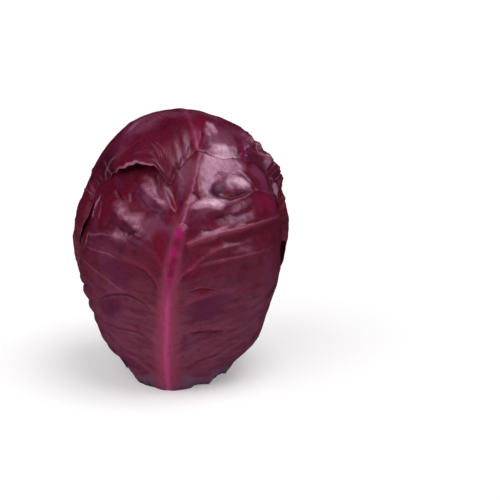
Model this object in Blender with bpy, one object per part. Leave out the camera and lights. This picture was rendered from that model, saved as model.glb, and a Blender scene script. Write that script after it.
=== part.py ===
"""A whole head of red cabbage, standing on its cut stem: a dense heart, the stem, and four wrapper leaves.

Each wrapper leaf is a thin closed blade with a midrib, side veins and a waved edge. It lies over
the heart and over every leaf that is listed before it. Metres, +Z up, origin on the cut face.
"""

import math

import bmesh
import bpy
import numpy as np
from mathutils import Vector

# The head: an ovoid that is cut flat where it stands
HEAD_RADIUS = 0.073
WIDEST_HEIGHT = 0.094
RISE_ABOVE = 0.0892
CROWN_POWER = 2.03
DROP_BELOW = 0.108
TAPER_POWER = 1.86
FOOT_WAIST = 0.0032
FOOT_FLARE = 0.0034
LEAN_RELIEF = 0.0036
FOOT_SPREAD = 0.36
LUMP_HEIGHT = 0.0008

# The wrapper leaves
BLADE = 0.001
LAYER_GAP = 0.0007
SWELL_HEIGHT = 0.0011
VEIN_HEIGHT = 0.0016
VEIN_PAIRS = 7
VEIN_FOCUS = 0.6
RIB_HEIGHT = 0.0041
RIB_HALF_WIDTH = 0.0075
EDGE_CURL = 0.0007
CURL_WIDTH = 0.007
EDGE_FADE = 0.006
DRAPE_WIDTH = 0.026
DRAPE_CLEAR = 0.004
EDGE_WAVE = 1.1
EDGE_WAVES = (9, 14, 21)

# The heart and the stem
HEART_CLEAR = 0.0014
HEART_CUT = 0.0012
HEART_FOLD = 0.0018
STEM_RADIUS = 0.013
STEM_TOP_RADIUS = 0.008
STEM_HEIGHT = 0.042
STEM_SIDES = 24
STEM_CLEAR = 0.0004
CUT_BEVEL = 0.0008

METRES_PER_DEGREE = HEAD_RADIUS * math.pi / 180
MIDDLE = np.array([0.0, 0.0, WIDEST_HEIGHT])

COLOURS = {
    "blade": ((0.105, 0.012, 0.032), 0.38),
    "heart": ((0.19, 0.025, 0.10), 0.45),
    "stem": ((0.72, 0.66, 0.52), 0.6),
}


class Leaf:
    """A leaf's middle on the head, in degrees round from the front and up, and the reach of its edge.

    The edge is (turn, reach) in degrees: turn is clockwise from the tip, seen from outside the head,
    and reach is the angle from the leaf's middle to its edge. Lean is where the midrib's foot is, its
    slant and its bend to the right, in degrees. Curls are (turn, half width, height).
    """

    def __init__(self, name, facing, rise, edge, lean, rows, columns, seed, curls=()):
        self.name = name
        self.edge = edge
        self.lean = lean
        self.curls = curls
        self.rows = rows
        self.columns = columns
        self.rise = rise
        self.phases = np.random.default_rng(seed).uniform(0, 2 * math.pi, len(EDGE_WAVES) + 3)
        a, e = math.radians(facing), math.radians(rise)
        self.out = np.array([math.sin(a) * math.cos(e), -math.cos(a) * math.cos(e), math.sin(e)])
        self.up = np.array([-math.sin(a) * math.sin(e), math.cos(a) * math.sin(e), math.cos(e)])
        self.right = np.array([math.cos(a), math.sin(a), 0.0])


# From the innermost to the outermost
LEAVES = (
    Leaf(
        "leaf_right", 98, 10,
        ((0, 78), (70, 84), (130, 92), (180, 98), (235, 90), (300, 84)),
        lean=(0, -6, 0), rows=28, columns=22, seed=3,
    ),
    Leaf(
        "leaf_left", -102, 8,
        ((0, 76), (60, 84), (120, 90), (180, 98), (240, 92), (300, 86)),
        lean=(0, 5, 0), rows=28, columns=22, seed=4,
    ),
    Leaf(
        "leaf_front", -8, 10,
        ((0, 74), (45, 86), (62, 100), (85, 106), (105, 100), (130, 92), (180, 98), (228, 92), (262, 89),
         (300, 84)),
        lean=(-3, 25, 3), rows=35, columns=30, seed=5,
    ),
    Leaf(
        "leaf_cap", -165, 15,
        ((0, 105.6), (5, 112.4), (9, 116.8), (16, 120.6), (21, 110), (28, 106.1), (37, 102.3), (43, 94.8),
         (49, 88.2), (56, 86), (66, 86.2), (75, 88), (84, 89.5), (92, 84), (103, 76), (118, 80), (135, 88),
         (150, 96), (180, 103), (225, 96), (270, 98.5), (296, 98.7), (306, 96.8), (320, 99.8), (333, 104),
         (347, 108.3), (352, 108.2), (357, 105.2)),
        lean=(0, -3, 0), curls=((27, 13, 0.0036), (82, 22, 0.002), (345, 14, 0.0012), (290, 18, 0.0022)),
        rows=35, columns=32, seed=6,
    ),
)


def smooth_step(x):
    x = np.clip(x, 0.0, 1.0)
    return x * x * (3 - 2 * x)


def bump(x):
    return np.exp(-x * x)


def head_radius(d):
    """Distance from the head's middle to its outside, along unit directions d."""
    level = np.hypot(d[:, 0], d[:, 1]) / HEAD_RADIUS
    rise = np.abs(d[:, 2]) / RISE_ABOVE
    above = (level**CROWN_POWER + rise**CROWN_POWER) ** (-1 / CROWN_POWER)
    drop = np.abs(d[:, 2]) / DROP_BELOW
    below = (level**TAPER_POWER + drop**TAPER_POWER) ** (-1 / TAPER_POWER)
    radius = np.where(d[:, 2] > 0, above, below)
    radius -= FOOT_WAIST * smooth_step((-d[:, 2] - 0.76) / 0.12)
    radius += FOOT_FLARE * smooth_step((-d[:, 2] - 0.88) / 0.06)
    left_shoulder = d @ np.array([-0.76, -0.20, 0.62])
    radius -= LEAN_RELIEF * bump((left_shoulder - 1) / 0.13)
    lumps = np.sin(5.1 * d[:, 0] + 1.0) * np.sin(4.3 * d[:, 2] + 2.0)
    lumps += np.sin(6.2 * d[:, 1] + 3 * d[:, 2] + 0.4)
    return radius + LUMP_HEIGHT * lumps


def edge_reach(leaf, turn):
    """Angle in degrees from the leaf's middle to its edge, at each turn in degrees."""
    turns, reaches = np.array(leaf.edge, float).T
    turns = np.concatenate([turns, [360.0]])
    reaches = np.concatenate([reaches, reaches[:1]])
    turn = np.mod(turn, 360.0)
    i = np.clip(np.searchsorted(turns, turn, side="right") - 1, 0, len(turns) - 2)
    share = smooth_step((turn - turns[i]) / (turns[i + 1] - turns[i]))
    reach = reaches[i] + (reaches[i + 1] - reaches[i]) * share
    for waves, phase in zip(EDGE_WAVES, leaf.phases):
        reach += EDGE_WAVE * 9 / waves * np.sin(waves * np.radians(turn) + phase)
    return reach


def directions(leaf, x, y):
    """Unit directions from the head's middle of points on the leaf laid flat, in degrees."""
    reach = np.hypot(x, y)
    angle = np.radians(reach)
    aside = x[:, None] * leaf.right + y[:, None] * leaf.up
    return np.cos(angle)[:, None] * leaf.out + (np.sin(angle) / np.maximum(reach, 1e-9))[:, None] * aside


def laid_flat(leaf, d):
    """The inverse: where unit directions d fall on the leaf laid flat, in degrees."""
    along = d @ leaf.out
    x, y = d @ leaf.right, d @ leaf.up
    scale = np.degrees(np.arccos(np.clip(along, -1, 1))) / np.maximum(np.hypot(x, y), 1e-9)
    return x * scale, y * scale


def base_line(leaf):
    """Height of the midrib's foot on the leaf laid flat, in degrees: just below where it is cut."""
    return -(90.0 + leaf.rise) + 13.0


def rib_share(leaf, y):
    """How far along the midrib a height y is: 0 at the foot and 1 at the tip."""
    return (y - base_line(leaf)) / (leaf.edge[0][1] - base_line(leaf))


def rib_line(leaf, y):
    """How far the midrib is to the right at height y, in degrees."""
    share = rib_share(leaf, y)
    foot, slant, bend = leaf.lean
    wander = 0.5 * np.sin(5 * share + leaf.phases[-1])
    return foot + slant * share + bend * smooth_step((share - 0.45) / 0.3) + wander


def rib_height(leaf, x, y, widen=1.0):
    """The midrib's rise above the blade: a broad low band with a narrow crest."""
    share = np.clip(rib_share(leaf, y), 0, 1)
    height = RIB_HEIGHT * (1 - share) ** 1.1 * (1 - smooth_step((share - 0.75) / 0.25)) + 0.0004
    half_width = widen * (RIB_HALF_WIDTH * (1 - share) ** 1.1 + 0.0018) / METRES_PER_DEGREE
    return height * bump((x - rib_line(leaf, y)) / half_width)


def curl_height(leaf, turn, inside, lifts=True):
    """How far the edge lifts off, with inside the distance in from the edge in metres.

    The leaf's own lifts can be left out. Around the foot the edge lies flat.
    """
    height = EDGE_CURL * (1 + 0.6 * np.sin(11 * np.radians(turn) + leaf.phases[-2]))
    height = height * (1 - smooth_step((np.abs(turn) - 115) / 40))
    if lifts:
        for middle, half_width, lift in leaf.curls:
            away = (turn - middle + 180) % 360 - 180
            height = height + lift * bump(away / half_width)
    return height * bump(np.maximum(inside, 0) / CURL_WIDTH)


def cover(leaf, d, raised=True):
    """How much a leaf raises what lies over it, falling away softly outside its edge.

    With raised off, it is the plain blade, with neither the midrib nor the leaf's own lifts.
    """
    x, y = laid_flat(leaf, d)
    turn = np.degrees(np.arctan2(x, y))
    inside = (edge_reach(leaf, turn) - np.hypot(x, y)) * METRES_PER_DEGREE
    share = 1 - smooth_step((-inside - DRAPE_CLEAR) / DRAPE_WIDTH)
    top = BLADE + LAYER_GAP + VEIN_HEIGHT + SWELL_HEIGHT + curl_height(leaf, turn, inside, raised)
    if raised:
        top = top + rib_height(leaf, x, y, 1.9)
    return top * share


def core_radius(d):
    """Radius of what the wrapper leaves lie on, so that their blades together reach the head's outside."""
    depth = sum(cover(leaf, d, raised=False) for leaf in LEAVES)
    return head_radius(d) - depth * (1 - FOOT_SPREAD * smooth_step((-d[:, 2] - 0.6) / 0.35))


def level_under(index, d):
    """Radius of what the leaf at this index lies on: the heart and all the leaves before it."""
    return core_radius(d) + sum(cover(leaf, d) for leaf in LEAVES[:index])


def vein_rows(leaf, u, w):
    """Points of the leaf laid flat, in degrees: u runs from edge to edge, and w along the midrib.

    Lines of equal w leave the midrib as the side veins do, and sweep up to the edge.
    """
    start_y = base_line(leaf) + (edge_reach(leaf, np.zeros(1))[0] - base_line(leaf)) * w**1.2
    start_x = rib_line(leaf, start_y)
    turn = np.sign(u) * (172.0 - 161.0 * w**0.85)
    reach = edge_reach(leaf, turn)
    end_x = reach * np.sin(np.radians(turn))
    end_y = reach * np.cos(np.radians(turn))
    out = np.abs(u) ** 1.25
    sag = (3.5 - 24.0 * w * (1 - w)) * (w < 1) + 3.0 * w
    x = start_x + (end_x - start_x) * out
    y = start_y + (end_y - start_y) * out + sag * out * (1 - out)
    return x, y


def blade_relief(leaf, x, y, u, w):
    """Side veins that stand up, and a slow swell of the blade. Neither goes below the plain blade."""
    wave = 0.5 + 0.5 * np.cos(2 * math.pi * VEIN_PAIRS * w)
    across = (1 - 0.7 * np.abs(u)) * smooth_step(np.abs(u) / 0.15)
    along = smooth_step(w / 0.1) * smooth_step((0.9 - w) / 0.2)
    veins = VEIN_HEIGHT * wave**12 * across * along
    swell = np.sin(x / 5.5 + leaf.phases[0] + np.sin(y / 9))
    swell *= np.sin(y / 6.5 + leaf.phases[1] + np.sin(x / 11))
    return veins + 0.5 * SWELL_HEIGHT * (1 + swell)


def blade_faces(index, u, w):
    """Points of the leaf's outer and inner face."""
    leaf = LEAVES[index]
    x, y = vein_rows(leaf, u, w)
    turn = np.degrees(np.arctan2(x, y))
    inside = (edge_reach(leaf, turn) - np.hypot(x, y)) * METRES_PER_DEGREE
    d = directions(leaf, x, y)
    inner = level_under(index, d) + LAYER_GAP + curl_height(leaf, turn, inside)
    relief = blade_relief(leaf, x, y, u, w) * smooth_step(inside / EDGE_FADE)
    outer = inner + BLADE + rib_height(leaf, x, y) + relief
    return MIDDLE + outer[:, None] * d, MIDDLE + inner[:, None] * d


def cut_flush(bm, height):
    """Cuts away what is below this height and closes the cut with a flat face."""
    everything = bm.verts[:] + bm.edges[:] + bm.faces[:]
    bmesh.ops.bisect_plane(
        bm, geom=everything, dist=1e-7, plane_co=(0, 0, height), plane_no=(0, 0, 1), clear_inner=True
    )
    bmesh.ops.edgeloop_fill(bm, edges=[e for e in bm.edges if e.is_boundary])


def material(slot):
    colour, roughness = COLOURS[slot]
    found = bpy.data.materials.get(slot) or bpy.data.materials.new(slot)
    found.use_nodes = True
    shader = found.node_tree.nodes["Principled BSDF"]
    shader.inputs["Base Color"].default_value = (*colour, 1.0)
    shader.inputs["Roughness"].default_value = roughness
    return found


def as_object(name, bm, slot):
    bmesh.ops.recalc_face_normals(bm, faces=bm.faces[:])
    if bm.calc_volume(signed=True) < 0:
        bmesh.ops.reverse_faces(bm, faces=bm.faces[:])
    mesh = bpy.data.meshes.new(name)
    bm.to_mesh(mesh)
    bm.free()
    mesh.materials.append(material(slot))
    mesh.shade_smooth()
    mesh.set_sharp_from_angle(angle=math.radians(50))
    made = bpy.data.objects.new(name, mesh)
    bpy.context.collection.objects.link(made)
    return made


def wrapper_leaf(index):
    """A flat grid laid over the head, with a second face under it and a rim between the two.

    Its rows draw together at the side veins, so that each vein is a narrow ridge.
    """
    leaf = LEAVES[index]
    bm = bmesh.new()
    bmesh.ops.create_grid(bm, x_segments=leaf.columns, y_segments=leaf.rows, size=1.0)
    bmesh.ops.triangulate(bm, faces=bm.faces[:], quad_method="FIXED")
    outside = bm.verts[:]
    flat = np.array([v.co for v in outside])
    under = bmesh.ops.duplicate(bm, geom=outside + bm.edges[:] + bm.faces[:])
    bmesh.ops.reverse_faces(bm, faces=[g for g in under["geom"] if isinstance(g, bmesh.types.BMFace)])
    twin = under["vert_map"]
    bmesh.ops.bridge_loops(bm, edges=[e for e in bm.edges if e.is_boundary])
    w = (flat[:, 1] + 1) / 2
    turns = 2 * math.pi * VEIN_PAIRS
    w -= VEIN_FOCUS * np.sin(turns * w) / turns
    outer, inner = blade_faces(index, flat[:, 0], w)
    for v, top, bottom in zip(outside, outer, inner):
        twin[v].co = Vector(bottom)
        v.co = Vector(top)
    cut_flush(bm, 0.0)
    return as_object(leaf.name, bm, "blade")


def tapered_bar(foot, clear):
    """A round bar about the head's axis, from the height foot up, that tapers as the stem does.

    Clear is how far it stands off the stem all round.
    """
    top = STEM_HEIGHT + clear
    slope = (STEM_RADIUS - STEM_TOP_RADIUS) / STEM_HEIGHT
    bm = bmesh.new()
    bmesh.ops.create_cone(
        bm, cap_ends=True, segments=STEM_SIDES, depth=top - foot,
        radius1=STEM_RADIUS - slope * foot + clear, radius2=STEM_RADIUS - slope * top + clear,
    )
    bmesh.ops.translate(bm, verts=bm.verts[:], vec=(0, 0, (top + foot) / 2))
    return bm


def stem():
    bm = tapered_bar(0.0, 0.0)
    foot = [e for e in bm.edges if all(abs(v.co.z) < 1e-6 for v in e.verts)]
    bmesh.ops.bevel(bm, geom=foot, offset=CUT_BEVEL, segments=1, affect="EDGES")
    return as_object("stem", bm, "stem")


def heart():
    """The dense inner head, with the folds of its outer leaves raised on it and a socket for the stem."""
    bm = bmesh.new()
    bmesh.ops.create_icosphere(bm, subdivisions=4, radius=1.0)
    d = np.array([v.co.normalized() for v in bm.verts])
    radius = core_radius(d) - HEART_CLEAR - HEART_FOLD
    for leaf in LEAVES:
        x, y = laid_flat(leaf, d * np.array([-1, -1, 1]))
        inside = edge_reach(leaf, np.degrees(np.arctan2(x, y))) - 8 - np.hypot(x, y)
        radius += HEART_FOLD / len(LEAVES) * smooth_step(inside / 5)
    for v, place in zip(bm.verts, MIDDLE + radius[:, None] * d):
        v.co = Vector(place)
    cut_flush(bm, HEART_CUT)
    made = as_object("heart", bm, "heart")
    socket = as_object("stem_socket", tapered_bar(-0.01, STEM_CLEAR), "stem")
    socket.hide_render = True
    socket.display_type = "WIRE"
    cut = made.modifiers.new("socket", "BOOLEAN")
    cut.operation = "DIFFERENCE"
    cut.solver = "EXACT"
    cut.object = socket
    return made


def main():
    for old in list(bpy.data.objects):
        bpy.data.objects.remove(old)
    stem()
    heart()
    for index in range(len(LEAVES)):
        wrapper_leaf(index)


main()
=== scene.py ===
"""Red cabbage: the finish of its wrapper leaves, heart and stem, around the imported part.

Each wrapper leaf is a flat blade with a thickness, laid over the head by the same formulas as its
solid, and then folded, veined and crumpled. Metres, +Z up, origin on the stem's cut face.
"""

import math

import bpy
import numpy as np
from bpy.props import FloatProperty, FloatVectorProperty, IntProperty, PointerProperty
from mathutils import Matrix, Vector, geometry


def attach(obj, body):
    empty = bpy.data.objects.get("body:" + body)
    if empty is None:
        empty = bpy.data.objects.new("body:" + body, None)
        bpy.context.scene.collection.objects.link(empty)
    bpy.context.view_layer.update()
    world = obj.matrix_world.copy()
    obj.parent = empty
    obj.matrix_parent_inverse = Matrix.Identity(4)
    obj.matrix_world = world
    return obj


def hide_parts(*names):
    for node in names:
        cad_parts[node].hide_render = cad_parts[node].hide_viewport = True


bl_info = {
    "name": "Red cabbage",
    "version": (1, 0, 0),
    "blender": (4, 5, 0),
    "location": "View3D > Sidebar > Cabbage",
    "description": "Finishes the leaves, heart and stem of a head of red cabbage",
    "category": "Add Mesh",
}

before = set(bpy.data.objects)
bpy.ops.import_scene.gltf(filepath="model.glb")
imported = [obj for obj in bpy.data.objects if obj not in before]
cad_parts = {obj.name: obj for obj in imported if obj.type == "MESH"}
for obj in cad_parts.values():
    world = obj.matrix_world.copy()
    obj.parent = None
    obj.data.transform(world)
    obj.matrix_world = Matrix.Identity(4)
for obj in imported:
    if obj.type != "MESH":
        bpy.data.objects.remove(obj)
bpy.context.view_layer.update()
BODY = "root"

# The head's form, as in its solids
HEAD_RADIUS = 0.073
WIDEST_HEIGHT = 0.094
RISE_ABOVE = 0.0892
CROWN_POWER = 2.03
DROP_BELOW = 0.108
TAPER_POWER = 1.86
FOOT_WAIST = 0.0032
FOOT_FLARE = 0.0034
LEAN_RELIEF = 0.0036
FOOT_SPREAD = 0.36
LUMP_HEIGHT = 0.0008

# The room that each leaf's solid takes between the leaf below it and the one above
BLADE_ROOM = 0.001
LAYER_GAP = 0.0007
RELIEF_ROOM = 0.0027
RIB_HALF_WIDTH = 0.0075
EDGE_CURL = 0.0007
CURL_WIDTH = 0.007
DRAPE_WIDTH = 0.026
DRAPE_CLEAR = 0.004
EDGE_WAVE = 1.1
EDGE_WAVES = (9, 14, 21)
VEIN_PAIRS = 7
VEIN_SPACING = 0.034
VEIN_HALF_WIDTH = 0.0022
PILLOW_EDGE = 0.009
SETTLE = 0.0021
SETTLE_WIDTH = 0.012
FREE_RELIEF = 0.006
REST_WIDTH = 0.015
REST_FADE = 0.004
REST_GAP = 0.00015

# Degrees on a leaf laid flat, for the crumples
FACET_SIZE = 12.0
GRID_REACH = 128.0
GRID_STEP = 0.5
RIDGE_ROUNDING = 0.75
FACET_TURN = 38.0

# Tints that the patches paint: lilac is partly wax and partly painted highlight, dark is painted shade, and
# violet and red are partly painted shade
TINTS = ("red", "cerise", "violet", "wax_and_highlight", "mauve", "dark")

# Fine lines on the leaves, painted shade in their creases and painted highlight along their ridges, and how
# far from the rim and from the midrib their paint reaches
LINE_SETS = 5
LINE_REACH = 0.003
CURL_REACH = 0.012
RIB_REACH = 0.020

# The blade's own relief, its thin edge, the lip where it curls up, and the room above its folds
SWELL_BASE = 0.0010
SWELL = 0.0003
THIN_EDGE = 0.005
LIP_HEIGHT = 0.0009
LIP_INSET = 0.0014
LIP_WIDTH = 0.0013
FULL_CURL = 0.004
FOLD_CLEARANCE = 0.0002
OPEN_CLEAR = 0.002
OPEN_WIDTH = 0.010

# Turns round a leaf at which its lowest and its highest cells end
FOOT_TURN = 172.0
TIP_TURN = 11.0

METRES_PER_DEGREE = HEAD_RADIUS * math.pi / 180
MIDDLE = np.array([0.0, 0.0, WIDEST_HEIGHT])
FLAT_DEPTH = 0.1
MILLIMETRES = 1000

# The leaves' foot, which is cut, frayed and torn
CUT_HEIGHT = 0.011
CUT_BLEND = 0.004
SHADE_HEIGHT = 0.0032
SHADE_BLEND = 0.0018
FRAY_HEIGHT = 0.0010
TORN_HEIGHT = 0.018
TORN_LIFT = 0.0060
TORN_TURN = 50
TORN_WIDTH = 12
FOOT_SKIRT = 0.0034
SKIRT_HEIGHT = 0.026
SKIRT_WIDTH = 24


class CabbageSizes(bpy.types.PropertyGroup):
    """Sizes of the leaves' surface."""

    leaf_columns: IntProperty(
        name="Leaf columns", description="Cells across each leaf", default=208, min=40, max=210
    )
    leaf_rows: IntProperty(
        name="Leaf rows", description="Cells along each leaf", default=226, min=40, max=228
    )
    blade: FloatProperty(
        name="Blade thickness", description="Thickness of a leaf between its veins", default=0.0009,
        unit="LENGTH",
    )
    midrib: FloatProperty(
        name="Midrib height", description="Rise of the midrib at its foot", default=0.0041, unit="LENGTH"
    )
    vein: FloatProperty(name="Vein height", description="Rise of a side vein", default=0.0011, unit="LENGTH")
    crumple: FloatProperty(
        name="Crumple height", description="Rise of the crumpled parts", default=0.0013, unit="LENGTH"
    )
    pillow: FloatProperty(
        name="Pillow height", description="Rise of the blade between two veins", default=0.0006, unit="LENGTH"
    )


class CabbageColours(bpy.types.PropertyGroup):
    """Colours of the leaves and the stem."""

    maroon: FloatVectorProperty(
        name="Maroon", description="Main colour of a leaf", subtype="COLOR", default=(0.094, 0.003, 0.015)
    )
    # Plum is also laid as painted shade on facets that face away from the light, in the dent and in the
    # hollows
    plum: FloatVectorProperty(
        name="Plum", description="Violet patches of a leaf", subtype="COLOR", default=(0.092, 0.008, 0.038)
    )
    # Mauve is partly wax bloom and partly a painted reflection of the pale floor, low on the leaf
    mauve: FloatVectorProperty(
        name="Mauve", description="Dusky wax film low on a leaf", subtype="COLOR",
        default=(0.160, 0.038, 0.076),
    )
    # Film is the soft edge of the lilac patches: partly wax, partly painted highlight
    film: FloatVectorProperty(
        name="Film", description="Thin wax film round the pale facets", subtype="COLOR",
        default=(0.19, 0.052, 0.095),
    )
    # Lilac is partly wax bloom and partly painted highlight on the facets that face the light
    wax_and_highlight: FloatVectorProperty(
        name="Lilac", description="Pale wax film on raised facets", subtype="COLOR",
        default=(0.39, 0.180, 0.27),
    )
    # Pearl is painted highlight in the middle of the brightest facets
    painted_highlight: FloatVectorProperty(
        name="Pearl", description="Middle of the brightest facets", subtype="COLOR",
        default=(0.72, 0.44, 0.56),
    )
    # Red is partly painted shade on the shaded flank beside the midrib
    red: FloatVectorProperty(
        name="Red", description="Deep red beside the ribs", subtype="COLOR", default=(0.125, 0.001, 0.016)
    )
    cerise: FloatVectorProperty(
        name="Cerise", description="Bright patches of a leaf", subtype="COLOR", default=(0.20, 0.004, 0.058)
    )
    magenta: FloatVectorProperty(
        name="Magenta", description="Middle of the midrib's crest", subtype="COLOR",
        default=(0.32, 0.0003, 0.105),
    )
    orchid: FloatVectorProperty(
        name="Orchid", description="Foot of the midrib's crest", subtype="COLOR", default=(0.42, 0.042, 0.165)
    )
    rose: FloatVectorProperty(
        name="Rose", description="Flanks of the ribs", subtype="COLOR", default=(0.28, 0.036, 0.086)
    )
    # Edge is the leaf's pale rim and pale lines, partly its own colour and partly painted highlight on the
    # lifted rim and along the ridges
    edge: FloatVectorProperty(
        name="Edge", description="Thin rim and pale lines of a leaf", subtype="COLOR",
        default=(0.33, 0.11, 0.17),
    )
    # Wine is painted shade in creases, hollows and under rims, and also a darker random mottle
    wine_and_painted_shade: FloatVectorProperty(
        name="Wine", description="Depth of a crease", subtype="COLOR", default=(0.034, 0.001, 0.010)
    )
    cut: FloatVectorProperty(
        name="Cut", description="Cut foot of a leaf", subtype="COLOR", default=(0.135, 0.060, 0.110)
    )
    flesh: FloatVectorProperty(
        name="Flesh", description="Cut face of the stem", subtype="COLOR", default=(0.62, 0.55, 0.42)
    )


class StudioLight(bpy.types.PropertyGroup):
    """Power of the studio's lights and the colour of its floor."""

    key: FloatProperty(name="Key", description="Broad light from the upper right", default=1.75)
    fill: FloatProperty(name="Fill", description="Broad light from the left", default=1.25)
    right_gloss: FloatProperty(
        name="Right gloss", description="Softbox on the right", default=11.0, unit="POWER"
    )
    left_gloss: FloatProperty(
        name="Left gloss", description="Softbox on the left", default=3.0, unit="POWER"
    )
    floor: FloatVectorProperty(
        name="Floor", description="Colour of the floor", subtype="COLOR", default=(0.72, 0.715, 0.715)
    )
    glow: FloatProperty(name="Glow", description="Light that comes through the floor", default=0.42)


def smooth_step(x):
    x = np.clip(x, 0.0, 1.0)
    return x * x * (3 - 2 * x)


def bump(x):
    return np.exp(-x * x)


class Fold:
    """A vein, ridge or crease on a leaf laid flat: a smooth curve through points in degrees.

    Height is the rise of its middle, below 0 for a crease, and step is the rise of the side on its
    left, which fades out over fade. Ends are the shares of its length over which it rises and falls.
    Dark is how strongly a dark line of painted shade follows it, pale how strongly a pale line of painted
    highlight runs on its left, and vein how strongly it takes the colour of a rib.
    """

    def __init__(
        self, points, half_width=0.0012, height=0.0, step=0.0, fade=0.008,
        ends=(0.1, 0.4), vein=0.0, dark=0.0, pale=0.0,
    ):
        self.path = smooth_path(points)
        self.half_width = half_width
        self.height = height
        self.step = step
        self.fade = fade
        self.ends = ends
        self.vein = vein
        self.dark = dark
        self.pale = pale


class Patch:
    """A soft patch of colour on a leaf laid flat: middle and half size in degrees, turned clockwise."""

    def __init__(self, tint, x, y, half_x, half_y, turned=0.0, share=1.0):
        self.tint = tint
        self.x = x
        self.y = y
        self.half_x = half_x
        self.half_y = half_y
        self.turned = math.radians(turned)
        self.share = share

    def on(self, x, y):
        across = (x - self.x) * math.cos(self.turned) - (y - self.y) * math.sin(self.turned)
        along = (x - self.x) * math.sin(self.turned) + (y - self.y) * math.cos(self.turned)
        return self.share * bump(np.hypot(across / self.half_x, along / self.half_y) ** 1.6)


def smooth_path(points, steps=6):
    """Points along a smooth curve through the given ones."""
    p = np.array(points, float)
    p = np.vstack([2 * p[0] - p[1], p, 2 * p[-1] - p[-2]])
    path = []
    for a, b, c, d in zip(p, p[1:], p[2:], p[3:]):
        for t in np.arange(steps) / steps:
            square = 2 * a - 5 * b + 4 * c - d
            cube = 3 * b - a - 3 * c + d
            path.append(0.5 * (2 * b + (c - a) * t + square * t**2 + cube * t**3))
    path.append(p[-2])
    return np.array(path)


def beside(path, x, y):
    """Distance in metres of points from a path, above 0 on its left, and the share of its length there."""
    nearest = np.full(x.shape, 1e9)
    side = np.ones(x.shape)
    share = np.zeros(x.shape)
    for i, ((ax, ay), (bx, by)) in enumerate(zip(path, path[1:])):
        dx, dy = bx - ax, by - ay
        t = np.clip(((x - ax) * dx + (y - ay) * dy) / (dx * dx + dy * dy), 0, 1)
        off_x, off_y = x - ax - t * dx, y - ay - t * dy
        distance = np.hypot(off_x, off_y)
        closer = distance < nearest
        nearest = np.where(closer, distance, nearest)
        side = np.where(closer, np.where(dx * off_y - dy * off_x > 0, 1.0, -1.0), side)
        share = np.where(closer, (i + t) / (len(path) - 1), share)
    return nearest * METRES_PER_DEGREE * side, share


class Leaf:
    """A leaf's middle on the head, in degrees round from the front and up, and the reach of its edge.

    The edge is (turn, reach) in degrees: turn is clockwise from the tip, seen from outside the head,
    and reach is the angle from the leaf's middle to its edge. Lean is where the midrib's foot is, its
    slant and its bend to the right, in degrees. Curls are (turn, half width, height). Ridges are
    lines of (x, y, height), in degrees and shares of the crumple height, with flat facets between
    them, and crumples are (x, y, half width, half height, share) where chance makes the facets.
    """

    def __init__(
        self, name, facing, rise, edge, lean, seed, curls=(), folds=(), ridges=(), crumples=(), patches=(),
        crest=0.35, detail=1.0, veined=True,
    ):
        self.name = name
        self.edge = edge
        self.lean = lean
        self.curls = curls
        self.folds = folds
        self.ridges = ridges
        self.crumples = crumples
        self.patches = patches
        self.crest = crest
        self.detail = detail
        self.veined = veined
        self.rise = rise
        self.seed = seed
        self.phases = np.random.default_rng(seed).uniform(0, 2 * math.pi, len(EDGE_WAVES) + 3)
        a, e = math.radians(facing), math.radians(rise)
        self.out = np.array([math.sin(a) * math.cos(e), -math.cos(a) * math.cos(e), math.sin(e)])
        self.up = np.array([-math.sin(a) * math.sin(e), math.cos(a) * math.sin(e), math.cos(e)])
        self.right = np.array([math.cos(a), math.sin(a), 0.0])


def side_vein(*points, **more):
    """A side vein of the front leaf, from the midrib out."""
    return Fold(points, **{"half_width": 0.0017, "height": 0.0010, "vein": 0.3, "ends": (0.05, 0.5), **more})


def crease(*points, **more):
    return Fold(points, **{"half_width": 0.0010, "height": -0.0009, "dark": 0.8, "ends": (0.2, 0.3), **more})


def pale_ridge(*points, **more):
    return Fold(points, **{"half_width": 0.0010, "height": 0.0008, "pale": 0.8, "ends": (0.15, 0.25), **more})


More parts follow.
